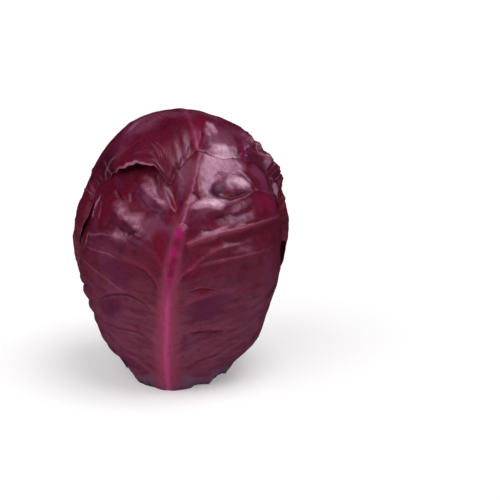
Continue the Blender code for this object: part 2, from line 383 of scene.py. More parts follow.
FRONT_FOLDS = (
    # Side veins on the right, from the top down
    side_vein((13, 1), (19, 3.4), (26, 6), (34, 8), (42, 10), (56, 14), (76, 20), (92, 25), half_width=0.0017,
              height=0.0015, pale=0.9, vein=0.8),
    side_vein((9, -19), (13, -13), (18, -9), (24, -4), (30, -1), (44, 2), (62, 7), pale=0.2, vein=0.2),
    side_vein((14, -13), (20, -9.5), (29, -7.5), (43, -5.5), (60, -3), (80, 2), vein=0.3, pale=0.5),
    side_vein((9, -32), (15, -28.5), (24, -25.5), (34, -25), (50, -27), (75, -24)),
    side_vein((8, -48), (19, -45), (32, -46), (50, -50), vein=0.2),
    side_vein((7, -66), (21, -61), (32, -58), (50, -58), vein=0.2),
    side_vein((17, 27), (22, 31), (28, 42), (34, 54), (38, 68), vein=0.1, height=0.0002),
    # Side veins on the left
    side_vein((-1, -37), (-7, -31), (-12, -27.5), (-18, -25), (-27, -26), (-40, -32), (-60, -42)),
    side_vein((-3, -52), (-9, -47.5), (-16, -45.5), (-24, -45.5), (-40, -46), (-60, -52), vein=0.2),
    side_vein((2, -26), (-2, -18), (-5, -14), (-8, -11), (-13, -9), (-21, -6), (-33, -3), (-54, 2), (-72, 6)),
    side_vein((5, -17), (2, -10), (-2, -4), (-9, 1), (-15, 5), vein=0.2),
    side_vein((-4, -75), (-11, -70), (-17, -64), (-24, -61), (-36, -60), vein=0.2),
    # Creases below the veins
    crease((-4, -36), (-10, -30.5), (-18, -27.8), (-27, -28.5), (-35, -31.5), (-42, -36),
           height=-0.0012, half_width=0.0013, dark=1.0, pale=0.35),
    crease((-9, -50), (-16, -48), (-24, -47.5), (-38, -48), dark=0.8, pale=0.3),
    crease((-1, -24), (-2.5, -19), (-5, -16), (-8, -13), (-13, -11), (-19, -9), height=-0.0012,
           half_width=0.0013),
    crease((-16, -26), (-29, -20), (-44, -13), (-60, -10), height=-0.0005, dark=0.3, pale=0.4),
    crease((-19, -8), (-29, -4.5), (-40, -3), (-55, -1), height=-0.0005, dark=0.35, pale=0.75),
    crease((12, -47.5), (19, -47), (26, -47.3), (36, -49)),
    crease((12, -64.5), (18, -62.5), (24, -61.5), (33, -60), dark=0.8),
    crease((13, -24), (17, -22.5), (21, -21.5), (27, -22.5), (35, -26), dark=0.7, pale=0.6),
    crease((9.5, -17.5), (13, -15.5), (18, -11), (22, -8), (26, -6.5), height=-0.0010, dark=0.5,
           half_width=0.0020),
    crease((20, 9), (24, 9), (28, 8.8), half_width=0.0009, dark=0.9, pale=0.3),
    # The midrib's two knuckles and its fork, with painted highlight beside their creases
    crease((19.8, 22.6), (18, 24.6), (15.8, 26.6), (12.5, 27.6), half_width=0.0009, height=-0.0008, dark=0.9,
           pale=1.0),
    crease((15, 9.4), (12.2, 11.8), (9, 11.8), half_width=0.0009, height=-0.0007, dark=0.5, pale=1.0),
    crease((18, 24), (21, 23.5), (25, 23.5), dark=0.4, pale=0.4, height=-0.0005),
    # Bulge and dent on the right
    crease((23.5, 30), (25.5, 27.3), (29, 25.9), (33.5, 26.2), (39, 27.5), (44, 30), (48, 33.5),
           height=-0.0010, dark=0.8, ends=(0.1, 0.1)),
    crease((25, 36.5), (29, 40), (36, 41.3), (42, 40), dark=0.7, height=-0.0006, half_width=0.0009),
    crease((37, 47), (41, 48.5), half_width=0.0009, height=-0.0006, dark=0.6),
    pale_ridge((40, 46), (44, 42), (47, 38.5), (49.5, 33.5), height=0.0010, half_width=0.0012),
    pale_ridge((49.5, 33.5), (56, 33), (68, 36), (90, 44), height=0.0009, pale=0.6, half_width=0.0013),
    pale_ridge((49.5, 33.5), (45, 29.5), (38, 25), (32, 22), (26, 20), pale=0.7, height=0.0010,
               half_width=0.0013),
    # Crumpled part on the left, below the arch
    pale_ridge((4.5, 41), (6.5, 38), (9, 34.5), (11, 31), height=0.0005, half_width=0.0010, pale=0.4),
    crease((-7.5, 38), (-5, 34), (-3, 30), (-2, 25.5), dark=0.4, height=-0.0004),
    crease((-4.5, 38), (-3.5, 33), (-1.5, 27), (0.5, 22.5), dark=0.35, pale=0.35),
    crease((-12.5, 30), (-12, 26), (-8.5, 22), (-4, 17.5), (0, 16.3), (4, 15.8), (7.5, 14),
           height=-0.0009, dark=0.7, pale=0.25),
    crease((-27, 30), (-24.5, 27), (-21, 23.5), (-18, 19.5), dark=1.0, height=-0.0012),
    crease((-17, 28), (-15, 25), (-13, 21.5), dark=0.9, height=-0.0010),
    pale_ridge((-29, 29.5), (-26.5, 26), (-23, 22.5), pale=0.6),
    pale_ridge((-18.5, 27), (-17, 23), (-15.8, 20.5), pale=0.7),
    pale_ridge((-46.5, 27), (-45, 21), (-44, 14), pale=0.5),
    pale_ridge((-40.5, 25), (-39, 18), (-39.5, 12), pale=0.5, height=0.0006),
    pale_ridge((-52, 4.5), (-42, 3.4), (-33, 4.2), (-26, 4), (-19, 2.6), (-15, 0.5), pale=0.9, height=0.0011,
               half_width=0.0012),
    crease((-16.5, 4.5), (-15, 6.3), (-11, 7.3), (-8.5, 8.6), dark=1.0, height=-0.0011),
    crease((-17, 4), (-19.5, 7), (-22, 9), dark=0.9),
    crease((-16.5, 3.5), (-14, 1), (-10, -1), dark=0.7),
    pale_ridge((-13, 6), (-10.5, 4.8), (-8, 4.5), pale=0.8, half_width=0.0009),
    crease((-28, 10), (-33, 8), (-40, 8.5), dark=0.5),
    # Scalloped side low on the left
    *(
        crease((x, y), (x - 14, y - 4), (x - 30, y - 6), (x - 46, y - 6), height=-0.0013, half_width=0.0020,
               ends=(0.4, 0.05), dark=0.6)
        for x, y in (
            (-45, -6), (-47, -17), (-43, -26), (-44, -37), (-38, -45), (-35, -54), (-28, -61), (-20, -68)
        )
    ),
    *(
        Fold(((x, y), (x - 14, y - 4), (x - 30, y - 6), (x - 46, y - 6)), height=0.0007, half_width=0.0034,
             ends=(0.4, 0.05))
        for x, y in ((-46, -11), (-46, -21), (-44, -31), (-42, -41), (-38, -49), (-33, -57), (-25, -64))
    ),
)

FRONT_RIDGES = (
    # The midrib, with the blade falling away to both sides of it like a low roof
    ((1, -45, 0.2), (4, -24, 0.2), (6, -9, 0.3), (9, 2, 0.3), (12, 11, 0.5), (15, 20, 0.8), (16, 27, 0.9),
     (17, 36, 0.9), (18, 47, 0.9), (18, 62, 0.6)),
    # Left of the midrib: a ridge, the red hollow and the dull facet
    ((6, 41, 0.8), (9, 35, 1.2), (11, 31, 1.2), (11.5, 24, 0.9), (10, 17, 0.6)),
    ((4, 35, 0.5), (7, 28, -0.5), (7.5, 22, -0.7), (5.5, 15, -0.7), (4, 10, -0.4)),
    ((1, 33, 0.5), (3, 26, 0.3)),
    # Tall facet below the arch
    ((-13, 36, 1.3), (-9.5, 31, 1.7), (-6, 26, 1.7), (-2.5, 22, 1.3), (1.5, 18.5, 0.4)),
    ((-5, 39, 0.2), (-3.6, 33, -0.3), (-1.5, 27, -0.4), (0.5, 22.5, -0.3)),
    # Hollow between the two large facets
    ((-17, 32, 0.0), (-14, 28, -0.8), (-11, 24, -1.0), (-7.5, 20.5, -0.8), (-2, 17.4, -0.5), (4, 16.5, -0.2)),
    # Long facet under it
    ((-33, 23, 0.9), (-24, 16.5, 1.7), (-17.5, 12, 2.0), (-12, 8.8, 1.6), (-8, 7.5, 0.8)),
    ((-29, 28, 0.3), (-24.5, 24.5, -0.2), (-19, 20.5, -0.5), (-14, 17.5, -0.1), (-5, 14.5, 0.3)),
    ((-33, 15, -0.1), (-25, 10.5, -0.8), (-19, 7, -0.9), (-13, 4, -0.5)),
    # Small facet above the star of creases, and the soft ones round it
    ((-30, 5, 0.2), (-23, 4.5, 1.3), (-17.5, 3.8, 1.2), (-15, 1, 0.5)),
    ((-3, 12, 1.0), (2, 9, 0.7), (-1, 2, 0.0), (-8, 2.5, 0.2)),
    ((-50, 3.5, 0.6), (-40, 3, 0.9), (-31, 3.8, 0.9)),
    # Streaks at the left end
    ((-47, 27, 0.4), (-45, 20, 1.6), (-43.5, 13, 1.5), (-43, 8, 0.3)),
    ((-40, 25, -0.3), (-37.5, 17, -0.8), (-37, 9, -0.4)),
    ((-53, 22, -0.3), (-52, 13, -0.5)),
    # Bulge, dent and the crease round them
    ((23, 33, -0.2), (25.5, 37, 0.2), (30, 41, 0.5), (36, 42, 0.6), (43, 40.5, 0.5), (47.5, 37, 0.4)),
    ((33, 34.5, 1.5), (39, 34.5, 1.9), (44, 33.5, 1.2)),
    ((24.5, 31, -0.5), (26.5, 28, -0.8)),
    ((33.5, 26.2, -0.9), (39, 27.5, -0.8), (44, 30, -0.6), (48, 33.5, 0.0)),
    # Below it: a lit band, a ridge to the fork, the dark hollow and the large side vein
    ((19, 23, 0.4), (25, 22.8, 1.0), (32, 23, 1.1), (40, 26.5, 1.0), (47, 30.5, 0.6)),
    ((16, 14.5, 0.4), (21, 16.5, 0.6), (27, 19.5, 0.8)),
    ((23, 12.5, -0.3), (30, 15.5, -0.5), (39, 18, -0.5), (48, 21, -0.3)),
    ((19, 6, 0.6), (26, 8, 1.1), (34, 10, 1.2), (42, 12, 1.3), (56, 16, 1.2), (76, 22, 1.0)),
    ((15, 2, -0.3), (25, 1.8, -0.8), (36, 3.5, -1.0), (50, 6, -0.9), (70, 11, -0.7)),
    ((31, -2, 0.6), (39, -2.5, 0.9), (49, -1.5, 0.9), (64, 1, 0.7)),
    ((10, -16, 0.2), (14, -11.5, 0.7), (19, -7.5, 1.0), (25, -3.5, 1.0)),
    ((11.5, -19, -0.4), (17, -14, -0.8), (24, -10.5, -0.8), (42, -8.5, -0.6)),
    ((12, -27, 0.2), (24, -18, 0.5), (40, -17, 0.5)),
    # Left of the foot: hollows under the veins
    ((-5, -38, -0.2), (-12, -32, -0.6), (-20, -30, -0.8), (-30, -32, -0.6), (-42, -40, -0.3)),
    ((-6, -24, 0.3), (-14, -22, 0.6), (-26, -22, 0.6), (-40, -25, 0.4)),
    ((-4, -17, -0.3), (-9, -13, -0.7), (-16, -11, -0.6), (-26, -9, -0.3)),
    ((-8, -53, -0.3), (-20, -50, -0.5), (-36, -50, -0.3)),
    ((-8, -42, 0.3), (-22, -39, 0.5), (-38, -42, 0.4)),
)

FRONT_PATCHES = (
    # Patches of colour. The lilac ones are partly wax bloom and partly painted highlight on facets that face
    # the light.
    Patch("wax_and_highlight", -6.2, 27.2, 5.6, 11, -32, 0.61),
    Patch("wax_and_highlight", -15.6, 14.2, 14, 5.0, 38, 0.56),
    Patch("wax_and_highlight", -22, 5.8, 7, 3.0, 10, 0.34),
    Patch("wax_and_highlight", -47, 20, 2.2, 10, 4, 0.9),
    Patch("wax_and_highlight", -54, 18, 2.8, 11, 4, 0.9),
    Patch("wax_and_highlight", -54, 1, 3.5, 6, 0, 0.9),
    Patch("wax_and_highlight", 24, 38, 7, 15, 0, 0.80),
    Patch("wax_and_highlight", 32, 46, 14, 10, 0, 0.80),
    # Painted highlights: the lit side of the bulge, the lit band below it and the midrib's two knuckles
    Patch("wax_and_highlight", 40, 35.5, 8, 5.5, 0, 1.3),
    Patch("wax_and_highlight", 24, 21.8, 9, 3.2, -8, 1.4),
    Patch("wax_and_highlight", 15.6, 24.0, 2.2, 2.2, 0, 1.0),
    Patch("wax_and_highlight", 11.3, 8.8, 1.5, 1.2, 0, 1.0),
    Patch("wax_and_highlight", 40, 22, 7, 3.2, -25, 0.55),
    Patch("wax_and_highlight", 27, 7.5, 11, 2.4, -14, 0.9),
    Patch("wax_and_highlight", 42, -2, 12, 3.4, -4, 0.45),
    Patch("wax_and_highlight", 47, 17, 3, 2, 0, 0.6),
    Patch("mauve", 11, 36, 5, 12, 0, 0.9),
    Patch("mauve", 3, 28, 3.4, 8, -10, 0.8),
    Patch("mauve", -3, 9, 8, 7, 0, 0.6),
    Patch("mauve", 20, 17, 6, 3, -30, 0.5),
    # Deep red beside the midrib, partly painted shade on its shaded left flank
    Patch("red", 7.3, 22, 2.8, 12, -4, 1.0),
    Patch("red", 1, -2, 4.5, 10, 0, 1.0),
    Patch("red", 17, -12, 7, 4.5, -50, 1.0),
    Patch("red", -3, -13, 5, 5, 40, 0.6),
    Patch("red", 28, 2.5, 14, 2.4, -6, 0.7),
    Patch("red", -33, 17, 6, 8, 10, 0.7),
    Patch("red", 22, -21.5, 8, 2.4, 0, 0.6),
    Patch("violet", -27, 33, 9, 5, 30, 0.8),
    Patch("violet", -13, 24, 4, 4, 0, 0.5),
    # Painted shade on the dent's lower side and in the dark hollow below it
    Patch("violet", 28, 30.5, 5, 6, -15, 1.0),
    Patch("violet", 33, 15, 11, 4.5, -12, 0.9),
    Patch("red", 31, 14, 8, 3.4, -12, 0.9),
    Patch("violet", -22, -15, 13, 4.5, 12, 0.9),
    Patch("violet", -31, -35, 10, 4.5, 0, 0.8),
    Patch("violet", 25, -33, 12, 8, 0, 0.8),
    Patch("mauve", 59, 48, 11, 13, 0, 0.7),
    Patch("cerise", 57, 46, 14, 16, 0, 0.36),
    Patch("cerise", 57, 27, 16, 9, -10, 0.34),
    Patch("cerise", 3, 40, 4, 5, 0, 0.6),
    Patch("cerise", 17, -12, 6, 3.5, -50, 0.5),
    Patch("cerise", -27, 34, 9, 5, 30, 0.45),
    Patch("red", 60, 28, 12, 7, 0, 0.7),
    # Painted shade under the arch's lifted rim, in the dark hollow, the dent, the hollow between the facets
    # and beside the midrib
    Patch("dark", -16, 41.5, 12, 2.4, 0, 1.0),
    Patch("dark", 33, 15.5, 7, 3, -12, 0.6),
    Patch("dark", 27.8, 29.6, 3.6, 4.2, -15, 0.9),
    Patch("dark", -13, 24.5, 2.6, 3.6, 0, 0.3),
    Patch("dark", 7.5, 30, 1.6, 5, 0, 0.5),
    Patch("red", 4, 37, 2.6, 6, 0, 0.8),
    Patch("wax_and_highlight", 25, 4.5, 5, 1.6, -12, 0.8),
)

CAP_FOLDS = (
    # Pale loops near the left edge
    pale_ridge((55, 58), (58, 62), (61, 64.5), (64, 69), (66, 72), half_width=0.0009),
    pale_ridge((49, 76), (54, 71), (59, 66.5), (62, 63), (67, 58), (72, 54), (76, 44), half_width=0.0009,
               pale=0.9),
    pale_ridge((66, 33), (71, 38), (76, 42), half_width=0.0009, pale=0.8),
    pale_ridge((66, 50), (72, 52), (76, 46), half_width=0.0008, pale=0.5),
    # Soft folds along the arch
    pale_ridge((60, 76), (52, 86), (44, 92), (36, 97), (30, 99), half_width=0.0016, height=0.0007, pale=0.35),
    crease((56, 74), (46, 81), (36, 88), (26, 92), height=-0.0005, dark=0.35, half_width=0.0014),
    pale_ridge((46, 74), (30, 80), (14, 83), (0, 86), height=0.0005, step=0.0006, half_width=0.0014,
               pale=0.2),
    # Painted highlight along the rim on the right
    pale_ridge((-1, 105), (-6, 107), (-15, 106.8), (-24, 104.6), (-32, 101), pale=1.0, height=0.0006,
               half_width=0.0009),
    # Small pleats where the arch ends
    pale_ridge((31, 105), (29, 100), (30, 94), half_width=0.0010, height=0.0004, pale=0.6),
    pale_ridge((26, 106), (25, 100), (27, 95), half_width=0.0009, height=0.0003, pale=0.3),
    crease((28.5, 106), (27, 100), (28.5, 94), half_width=0.0009, height=-0.0004, dark=0.5),
    # Folds near the crown
    pale_ridge((12, 72), (13, 80), (13, 87), pale=0.2, height=0.0003),
    crease((16, 74), (17, 82), (20, 90), dark=0.2, height=-0.0003),
    crease((-2, 74), (-6, 84), (-9, 92), (-8, 100), (-3, 107), dark=0.15, height=-0.0003, half_width=0.0020),
    pale_ridge((-12, 93), (-16, 95), (-21, 94), pale=0.5, height=0.0006),
    # Double lumpy folds down the right edge
    pale_ridge((-42, 78), (-49, 82), (-55, 78), (-62, 70), (-69, 60), (-75, 48), (-80, 36), height=0.0014,
               half_width=0.0014, pale=0.7),
    crease((-46, 88), (-53, 84), (-60, 78), (-67, 70), (-73, 60), (-79, 46), (-84, 34), dark=0.9,
           height=-0.0012),
    pale_ridge((-52, 92), (-60, 86), (-68, 77), (-76, 66), (-82, 54), (-88, 40), height=0.0012, pale=0.7,
               half_width=0.0013),
    crease((-40, 72), (-50, 75), (-58, 68), (-66, 56), (-72, 42), dark=0.7, height=-0.0009),
    pale_ridge((-20, 70), (-30, 74), (-40, 72), (-50, 64), (-60, 50), pale=0.3, height=0.0008,
               half_width=0.0015),
    pale_ridge((-43, 79), (-49, 76.5), (-55, 73), height=0.0016, pale=1.0, half_width=0.0015,
               ends=(0.2, 0.2)),
    pale_ridge((-59, 72.5), (-65, 69), (-71, 64.5), height=0.0016, pale=1.0, half_width=0.0015,
               ends=(0.2, 0.2)),
    pale_ridge((-74, 62), (-79, 54.5), (-86, 46), (-93, 38), height=0.0015, pale=1.0, half_width=0.0014,
               ends=(0.2, 0.2)),
    # Lumps across the right edge, and the creases between them
    *(
        pale_ridge((x - 5, y + 6), (x, y), (x + 5, y - 7), height=0.0009, half_width=0.0022, pale=0.5,
                   ends=(0.3, 0.3))
        for x, y in ((-46, 73), (-53, 69), (-61, 64), (-72, 56), (-79, 47), (-87, 36))
    ),
    *(
        crease((x - 5, y + 6), (x, y), (x + 5, y - 7), height=-0.0011, half_width=0.0014, dark=0.8,
               ends=(0.3, 0.3))
        for x, y in ((-49, 71), (-57, 67), (-67, 60), (-75.5, 52), (-83, 42))
    ),
)

CAP_RIDGES = (
    ((-2, 108, 0.0), (-8, 100, -0.2), (-12, 92, 0.0), (-12, 80, 0.2)),
    ((-18, 104, 0.8), (-28, 101, 0.9), (-40, 95, 0.8), (-50, 86, 0.4)),
    ((-20, 92, -0.2), (-32, 88, -0.4), (-42, 82, -0.5)),
    ((-38, 76, 1.0), (-50, 79, 1.6), (-60, 71, 1.5), (-68, 60, 1.6), (-75, 46, 1.3)),
    ((-46, 88, -0.9), (-58, 80, -1.0), (-67, 70, -1.0), (-76, 56, -0.9)),
    ((60, 52, 1.0), (66, 40, 1.1), (72, 26, 1.0), (76, 10, 0.8)),
    ((50, 60, -0.6), (56, 48, -0.7), (62, 34, -0.8)),
    ((52, 86, 0.7), (40, 93, 0.9), (30, 97, 0.9)),
    ((24, 88, 0.2), (8, 92, 0.3), (2, 99, 0.2)),
    ((40, 76, -0.6), (24, 80, -0.6), (6, 82, -0.5)),
    ((30, 62, 0.7), (10, 66, 0.6), (-10, 66, 0.7), (-30, 60, 0.8)),
)

CAP_PATCHES = (
    # Patches of colour. The lilac ones are partly wax bloom and partly painted highlight: on the upper right
    # and on the lumps down the right edge.
    Patch("wax_and_highlight", -31, 101.5, 19, 4.2, -22, 1.4),
    Patch("wax_and_highlight", -17, 93, 6, 5, 0, 0.95),
    Patch("wax_and_highlight", -49, 75, 6, 2.2, -27, 1.0),
    Patch("wax_and_highlight", -66, 67.5, 7, 1.8, -30, 1.0),
    Patch("wax_and_highlight", -83, 50, 12, 1.8, -52, 1.0),
    Patch("mauve", -24, 97, 12, 7, -22, 0.9),
    Patch("wax_and_highlight", 28, 72, 8, 4, 0, 0.35),
    Patch("mauve", 0, 80, 40, 9, 0, 0.5),
    Patch("mauve", 7, 110, 8, 8, 20, 0.8),
    Patch("mauve", 50, 74, 10, 14, -40, 0.4),
    Patch("red", -6, 98, 3.6, 14, 22, 1.0),
    Patch("red", 10, 97, 14, 8, 0, 0.8),
    Patch("red", 24, 103, 7, 6, 0, 0.6),
    Patch("violet", -55, 84, 10, 8, 0, 0.7),
    Patch("violet", 44, 70, 10, 7, 0, 0.6),
    Patch("cerise", -4, 100, 6, 11, 15, 0.55),
    Patch("cerise", -48, 90, 9, 6, -20, 0.35),
    # Painted shade on the left strip, on the left of the blade and over the crown
    Patch("dark", 62, 40, 6, 20, -20, 0.65),
    Patch("dark", 60, 64, 14, 16, 0, 0.7),
    Patch("dark", 12, 95, 18, 9, 0, 0.5),
)

# The leaves' places in their row, from the innermost to the outermost
RIGHT, LEFT, FRONT, CAP = range(4)
LEAVES = (
    Leaf(
        "leaf_right", 98, 10,
        ((0, 78), (70, 84), (130, 92), (180, 98), (235, 90), (300, 84)),
        lean=(0, -6, 0), seed=3, crumples=((-10, 20, 60, 60, 0.8),), detail=0.8,
    ),
    Leaf(
        "leaf_left", -102, 8,
        ((0, 76), (60, 84), (120, 90), (180, 98), (240, 92), (300, 86)),
        lean=(0, 5, 0), seed=4, crumples=((5, 15, 60, 60, 0.8),), detail=0.8,
    ),
    Leaf(
        "leaf_front", -8, 10,
        ((0, 74), (45, 86), (62, 100), (85, 106), (105, 100), (130, 92), (180, 98), (228, 92), (262, 89),
         (300, 84)),
        lean=(-3.2, 21.5, 3), seed=5, folds=FRONT_FOLDS, ridges=FRONT_RIDGES, patches=FRONT_PATCHES,
        crumples=((70, 10, 26, 50, 0.8), (-74, 0, 24, 50, 0.8), (0, 62, 70, 16, 0.6)),
        crest=1.0, veined=False,
    ),
    Leaf(
        "leaf_cap", -165, 15,
        ((0, 105.6), (5, 112.4), (9, 116.8), (16, 120.6), (21, 110), (28, 106.1), (37, 102.3), (43, 94.8),
         (49, 88.2), (56, 86), (66, 86.2), (75, 88), (84, 89.5), (92, 84), (103, 76), (118, 80), (135, 88),
         (150, 96), (180, 103), (225, 96), (270, 98.5), (296, 98.7), (306, 96.8), (320, 99.8), (333, 104),
         (347, 108.3), (352, 108.2), (357, 105.2)),
        lean=(0, -3, 0), curls=((29, 10, 0.0058), (78, 14, 0.0012)),
        seed=6, folds=CAP_FOLDS, ridges=CAP_RIDGES, patches=CAP_PATCHES,
        crumples=((0, -10, 95, 75, 0.7), (-70, 30, 24, 50, 0.8)),
    ),
)


def head_radius(d):
    """Distance from the head's middle to its outside, along unit directions d."""
    level = np.hypot(d[:, 0], d[:, 1]) / HEAD_RADIUS
    rise = np.abs(d[:, 2]) / RISE_ABOVE
    above = (level**CROWN_POWER + rise**CROWN_POWER) ** (-1 / CROWN_POWER)
    drop = np.abs(d[:, 2]) / DROP_BELOW
    below = (level**TAPER_POWER + drop**TAPER_POWER) ** (-1 / TAPER_POWER)
    radius = np.where(d[:, 2] > 0, above, below)
    radius -= FOOT_WAIST * smooth_step((-d[:, 2] - 0.76) / 0.12)
    radius += FOOT_FLARE * smooth_step((-d[:, 2] - 0.88) / 0.06)
    left_shoulder = d @ np.array([-0.76, -0.20, 0.62])
    radius -= LEAN_RELIEF * bump((left_shoulder - 1) / 0.13)
    lumps = np.sin(5.1 * d[:, 0] + 1.0) * np.sin(4.3 * d[:, 2] + 2.0)
    lumps += np.sin(6.2 * d[:, 1] + 3 * d[:, 2] + 0.4)
    return radius + LUMP_HEIGHT * lumps


def edge_reach(leaf, turn):
    """Angle in degrees from the leaf's middle to its edge, at each turn in degrees."""
    turns, reaches = np.array(leaf.edge, float).T
    turns = np.concatenate([turns, [360.0]])
    reaches = np.concatenate([reaches, reaches[:1]])
    turn = np.mod(turn, 360.0)
    i = np.clip(np.searchsorted(turns, turn, side="right") - 1, 0, len(turns) - 2)
    share = smooth_step((turn - turns[i]) / (turns[i + 1] - turns[i]))
    reach = reaches[i] + (reaches[i + 1] - reaches[i]) * share
    for waves, phase in zip(EDGE_WAVES, leaf.phases):
        reach += EDGE_WAVE * 9 / waves * np.sin(waves * np.radians(turn) + phase)
    return reach


def ragged_edge(leaf, turn):
    """The edge with its small waves and nicks."""
    t = np.radians(turn)
    waves = 0.45 * np.sin(33 * t + leaf.phases[0]) * np.sin(5 * t + leaf.phases[1])
    waves += 0.25 * np.sin(71 * t + leaf.phases[2] + 2 * np.sin(13 * t))
    nicks = np.maximum(np.sin(17 * t + 3 * np.sin(4 * t + leaf.phases[1])) - 0.86, 0) * 6.0
    return edge_reach(leaf, turn) + waves - nicks


def directions(leaf, x, y):
    """Unit directions from the head's middle of points on the leaf laid flat, in degrees."""
    reach = np.hypot(x, y)
    angle = np.radians(reach)
    aside = x[:, None] * leaf.right + y[:, None] * leaf.up
    return np.cos(angle)[:, None] * leaf.out + (np.sin(angle) / np.maximum(reach, 1e-9))[:, None] * aside


def laid_flat(leaf, d):
    """The inverse: where unit directions d fall on the leaf laid flat, in degrees."""
    along = d @ leaf.out
    x, y = d @ leaf.right, d @ leaf.up
    scale = np.degrees(np.arccos(np.clip(along, -1, 1))) / np.maximum(np.hypot(x, y), 1e-9)
    return x * scale, y * scale


def base_line(leaf):
    """Height of the midrib's foot on the leaf laid flat, in degrees: just below where it is cut."""
    return -(90.0 + leaf.rise) + 13.0


def rib_share(leaf, y):
    """How far along the midrib a height y is: 0 at the foot and 1 at the tip."""
    return (y - base_line(leaf)) / (leaf.edge[0][1] - base_line(leaf))


def rib_line(leaf, y):
    """How far the midrib is to the right at height y, in degrees."""
    share = rib_share(leaf, y)
    foot, slant, bend = leaf.lean
    wander = 0.5 * np.sin(5 * share + leaf.phases[-1])
    return foot + slant * share + bend * smooth_step((share - 0.45) / 0.3) + wander


def rib_height(leaf, x, y, widen=1.0):
    """The midrib's rise above the blade."""
    height = bpy.context.scene.cabbage_sizes.midrib
    share = np.clip(rib_share(leaf, y), 0, 1)
    height = height * (1 - share) ** 1.1 * (1 - smooth_step((share - 0.75) / 0.25)) + 0.0004
    half_width = widen * (RIB_HALF_WIDTH * (1 - share) ** 1.1 + 0.0018) / METRES_PER_DEGREE
    return height * bump((x - rib_line(leaf, y)) / half_width)


def curl_height(leaf, turn, inside, lifts=True):
    """How far the edge lifts off, with inside the distance in from the edge in metres."""
    height = EDGE_CURL * (1 + 0.6 * np.sin(11 * np.radians(turn) + leaf.phases[-2]))
    height = height * (1 - smooth_step((np.abs(turn) - 115) / 40))
    if lifts:
        for middle, half_width, lift in leaf.curls:
            away = (turn - middle + 180) % 360 - 180
            height = height + lift * bump(away / half_width)
    return height * bump(np.maximum(inside, 0) / CURL_WIDTH)


def cover(leaf, d, raised=True):
    """How much a leaf raises what lies over it, falling away softly outside its edge."""
    x, y = laid_flat(leaf, d)
    turn = np.degrees(np.arctan2(x, y))
    inside = (edge_reach(leaf, turn) - np.hypot(x, y)) * METRES_PER_DEGREE
    share = 1 - smooth_step((-inside - DRAPE_CLEAR) / DRAPE_WIDTH)
    top = BLADE_ROOM + LAYER_GAP + RELIEF_ROOM + curl_height(leaf, turn, inside, raised)
    if raised:
        top = top + rib_height(leaf, x, y, 1.9)
    return top * share


def core_radius(d):
    """Radius of what the wrapper leaves lie on, so that their blades together reach the head's outside."""
    depth = sum(cover(leaf, d, raised=False) for leaf in LEAVES)
    return head_radius(d) - depth * (1 - FOOT_SPREAD * smooth_step((-d[:, 2] - 0.6) / 0.35))


def level_under(index, d):
    """Radius of what the leaf at this index lies on: the heart and all the leaves before it."""
    return core_radius(d) + sum(cover(leaf, d) for leaf in LEAVES[:index])


def vein_rows(leaf, u, w):
    """Points of the leaf laid flat, in degrees: u runs from edge to edge, and w along the midrib.

    Lines of equal w leave the midrib as the side veins do, and sweep up to the edge.
    """
    start_y = base_line(leaf) + (edge_reach(leaf, np.zeros(1))[0] - base_line(leaf)) * w**1.2
    start_x = rib_line(leaf, start_y)
    turn = np.sign(u) * (FOOT_TURN + (TIP_TURN - FOOT_TURN) * w**0.85)
    reach = ragged_edge(leaf, turn)
    end_x = reach * np.sin(np.radians(turn))
    end_y = reach * np.cos(np.radians(turn))
    out = np.abs(u) ** 1.15
    sag = (3.5 - 24.0 * w * (1 - w)) * (w < 1) + 3.0 * w
    x = start_x + (end_x - start_x) * out
    y = start_y + (end_y - start_y) * out + sag * out * (1 - out)
    return x, y


def line_sets(folds):
    """Sorts folds into a few sets, so that the lines of one set keep well apart."""
    sets = [[] for _ in range(LINE_SETS)]
    for fold in folds:
        gaps = [nearest_gap(fold, others) for others in sets]
        sets[int(np.argmax(gaps))].append(fold)
    return sets


def nearest_gap(fold, others):
    """Degrees from a fold to the nearest of the others."""
    gaps = (fold.path[:, None, :] - other.path[None, :, :] for other in others)
    return min((np.hypot(gap[..., 0], gap[..., 1]).min() for gap in gaps), default=180.0)


def near_line(off):
    """1 close to a line, falling to 0 before points lie nearer to another one."""
    return 1 - smooth_step(np.abs(off) / LINE_REACH - 0.5)


def line_values(off, near, dark, pale):
    """What the paint reads of a line: the distance from it in mm, and how dark and how pale it is, as painted
    shade and painted highlight.
    """
    off = np.clip(off, -LINE_REACH, LINE_REACH) * MILLIMETRES
    return np.stack([off, dark * near, pale * near], axis=1)


def folded(leaf, x, y):
    """Relief of the leaf's folds, the veins' colour, and the values of each set of lines."""
    relief = np.zeros(len(x))
    vein = np.zeros(len(x))
    sets = []
    for folds in line_sets(leaf.folds):
        nearest = np.full(len(x), 1e9)
        line = np.zeros((len(x), 3))
        for fold in folds:
            off, along = beside(fold.path, x, y)
            rising, falling = fold.ends
            strength = smooth_step(along / rising) * smooth_step((1 - along) / falling)
            width = fold.half_width * (1 - 0.35 * along)
            ridge = bump(off / width) * strength
            relief += fold.height * ridge
            flank = smooth_step(off / (2 * width) + 0.5) * np.exp(-np.maximum(off, 0) / fold.fade)
            relief += fold.step * flank * strength
            vein = np.maximum(vein, fold.vein * bump(off / (1.3 * width)) * strength)
            near = strength * near_line(off)
            closer = np.abs(off) < nearest
            nearest = np.where(closer, np.abs(off), nearest)
            line = np.where(closer[:, None], line_values(off, near, fold.dark, fold.pale), line)
        sets.append(line)
    return relief, vein, sets


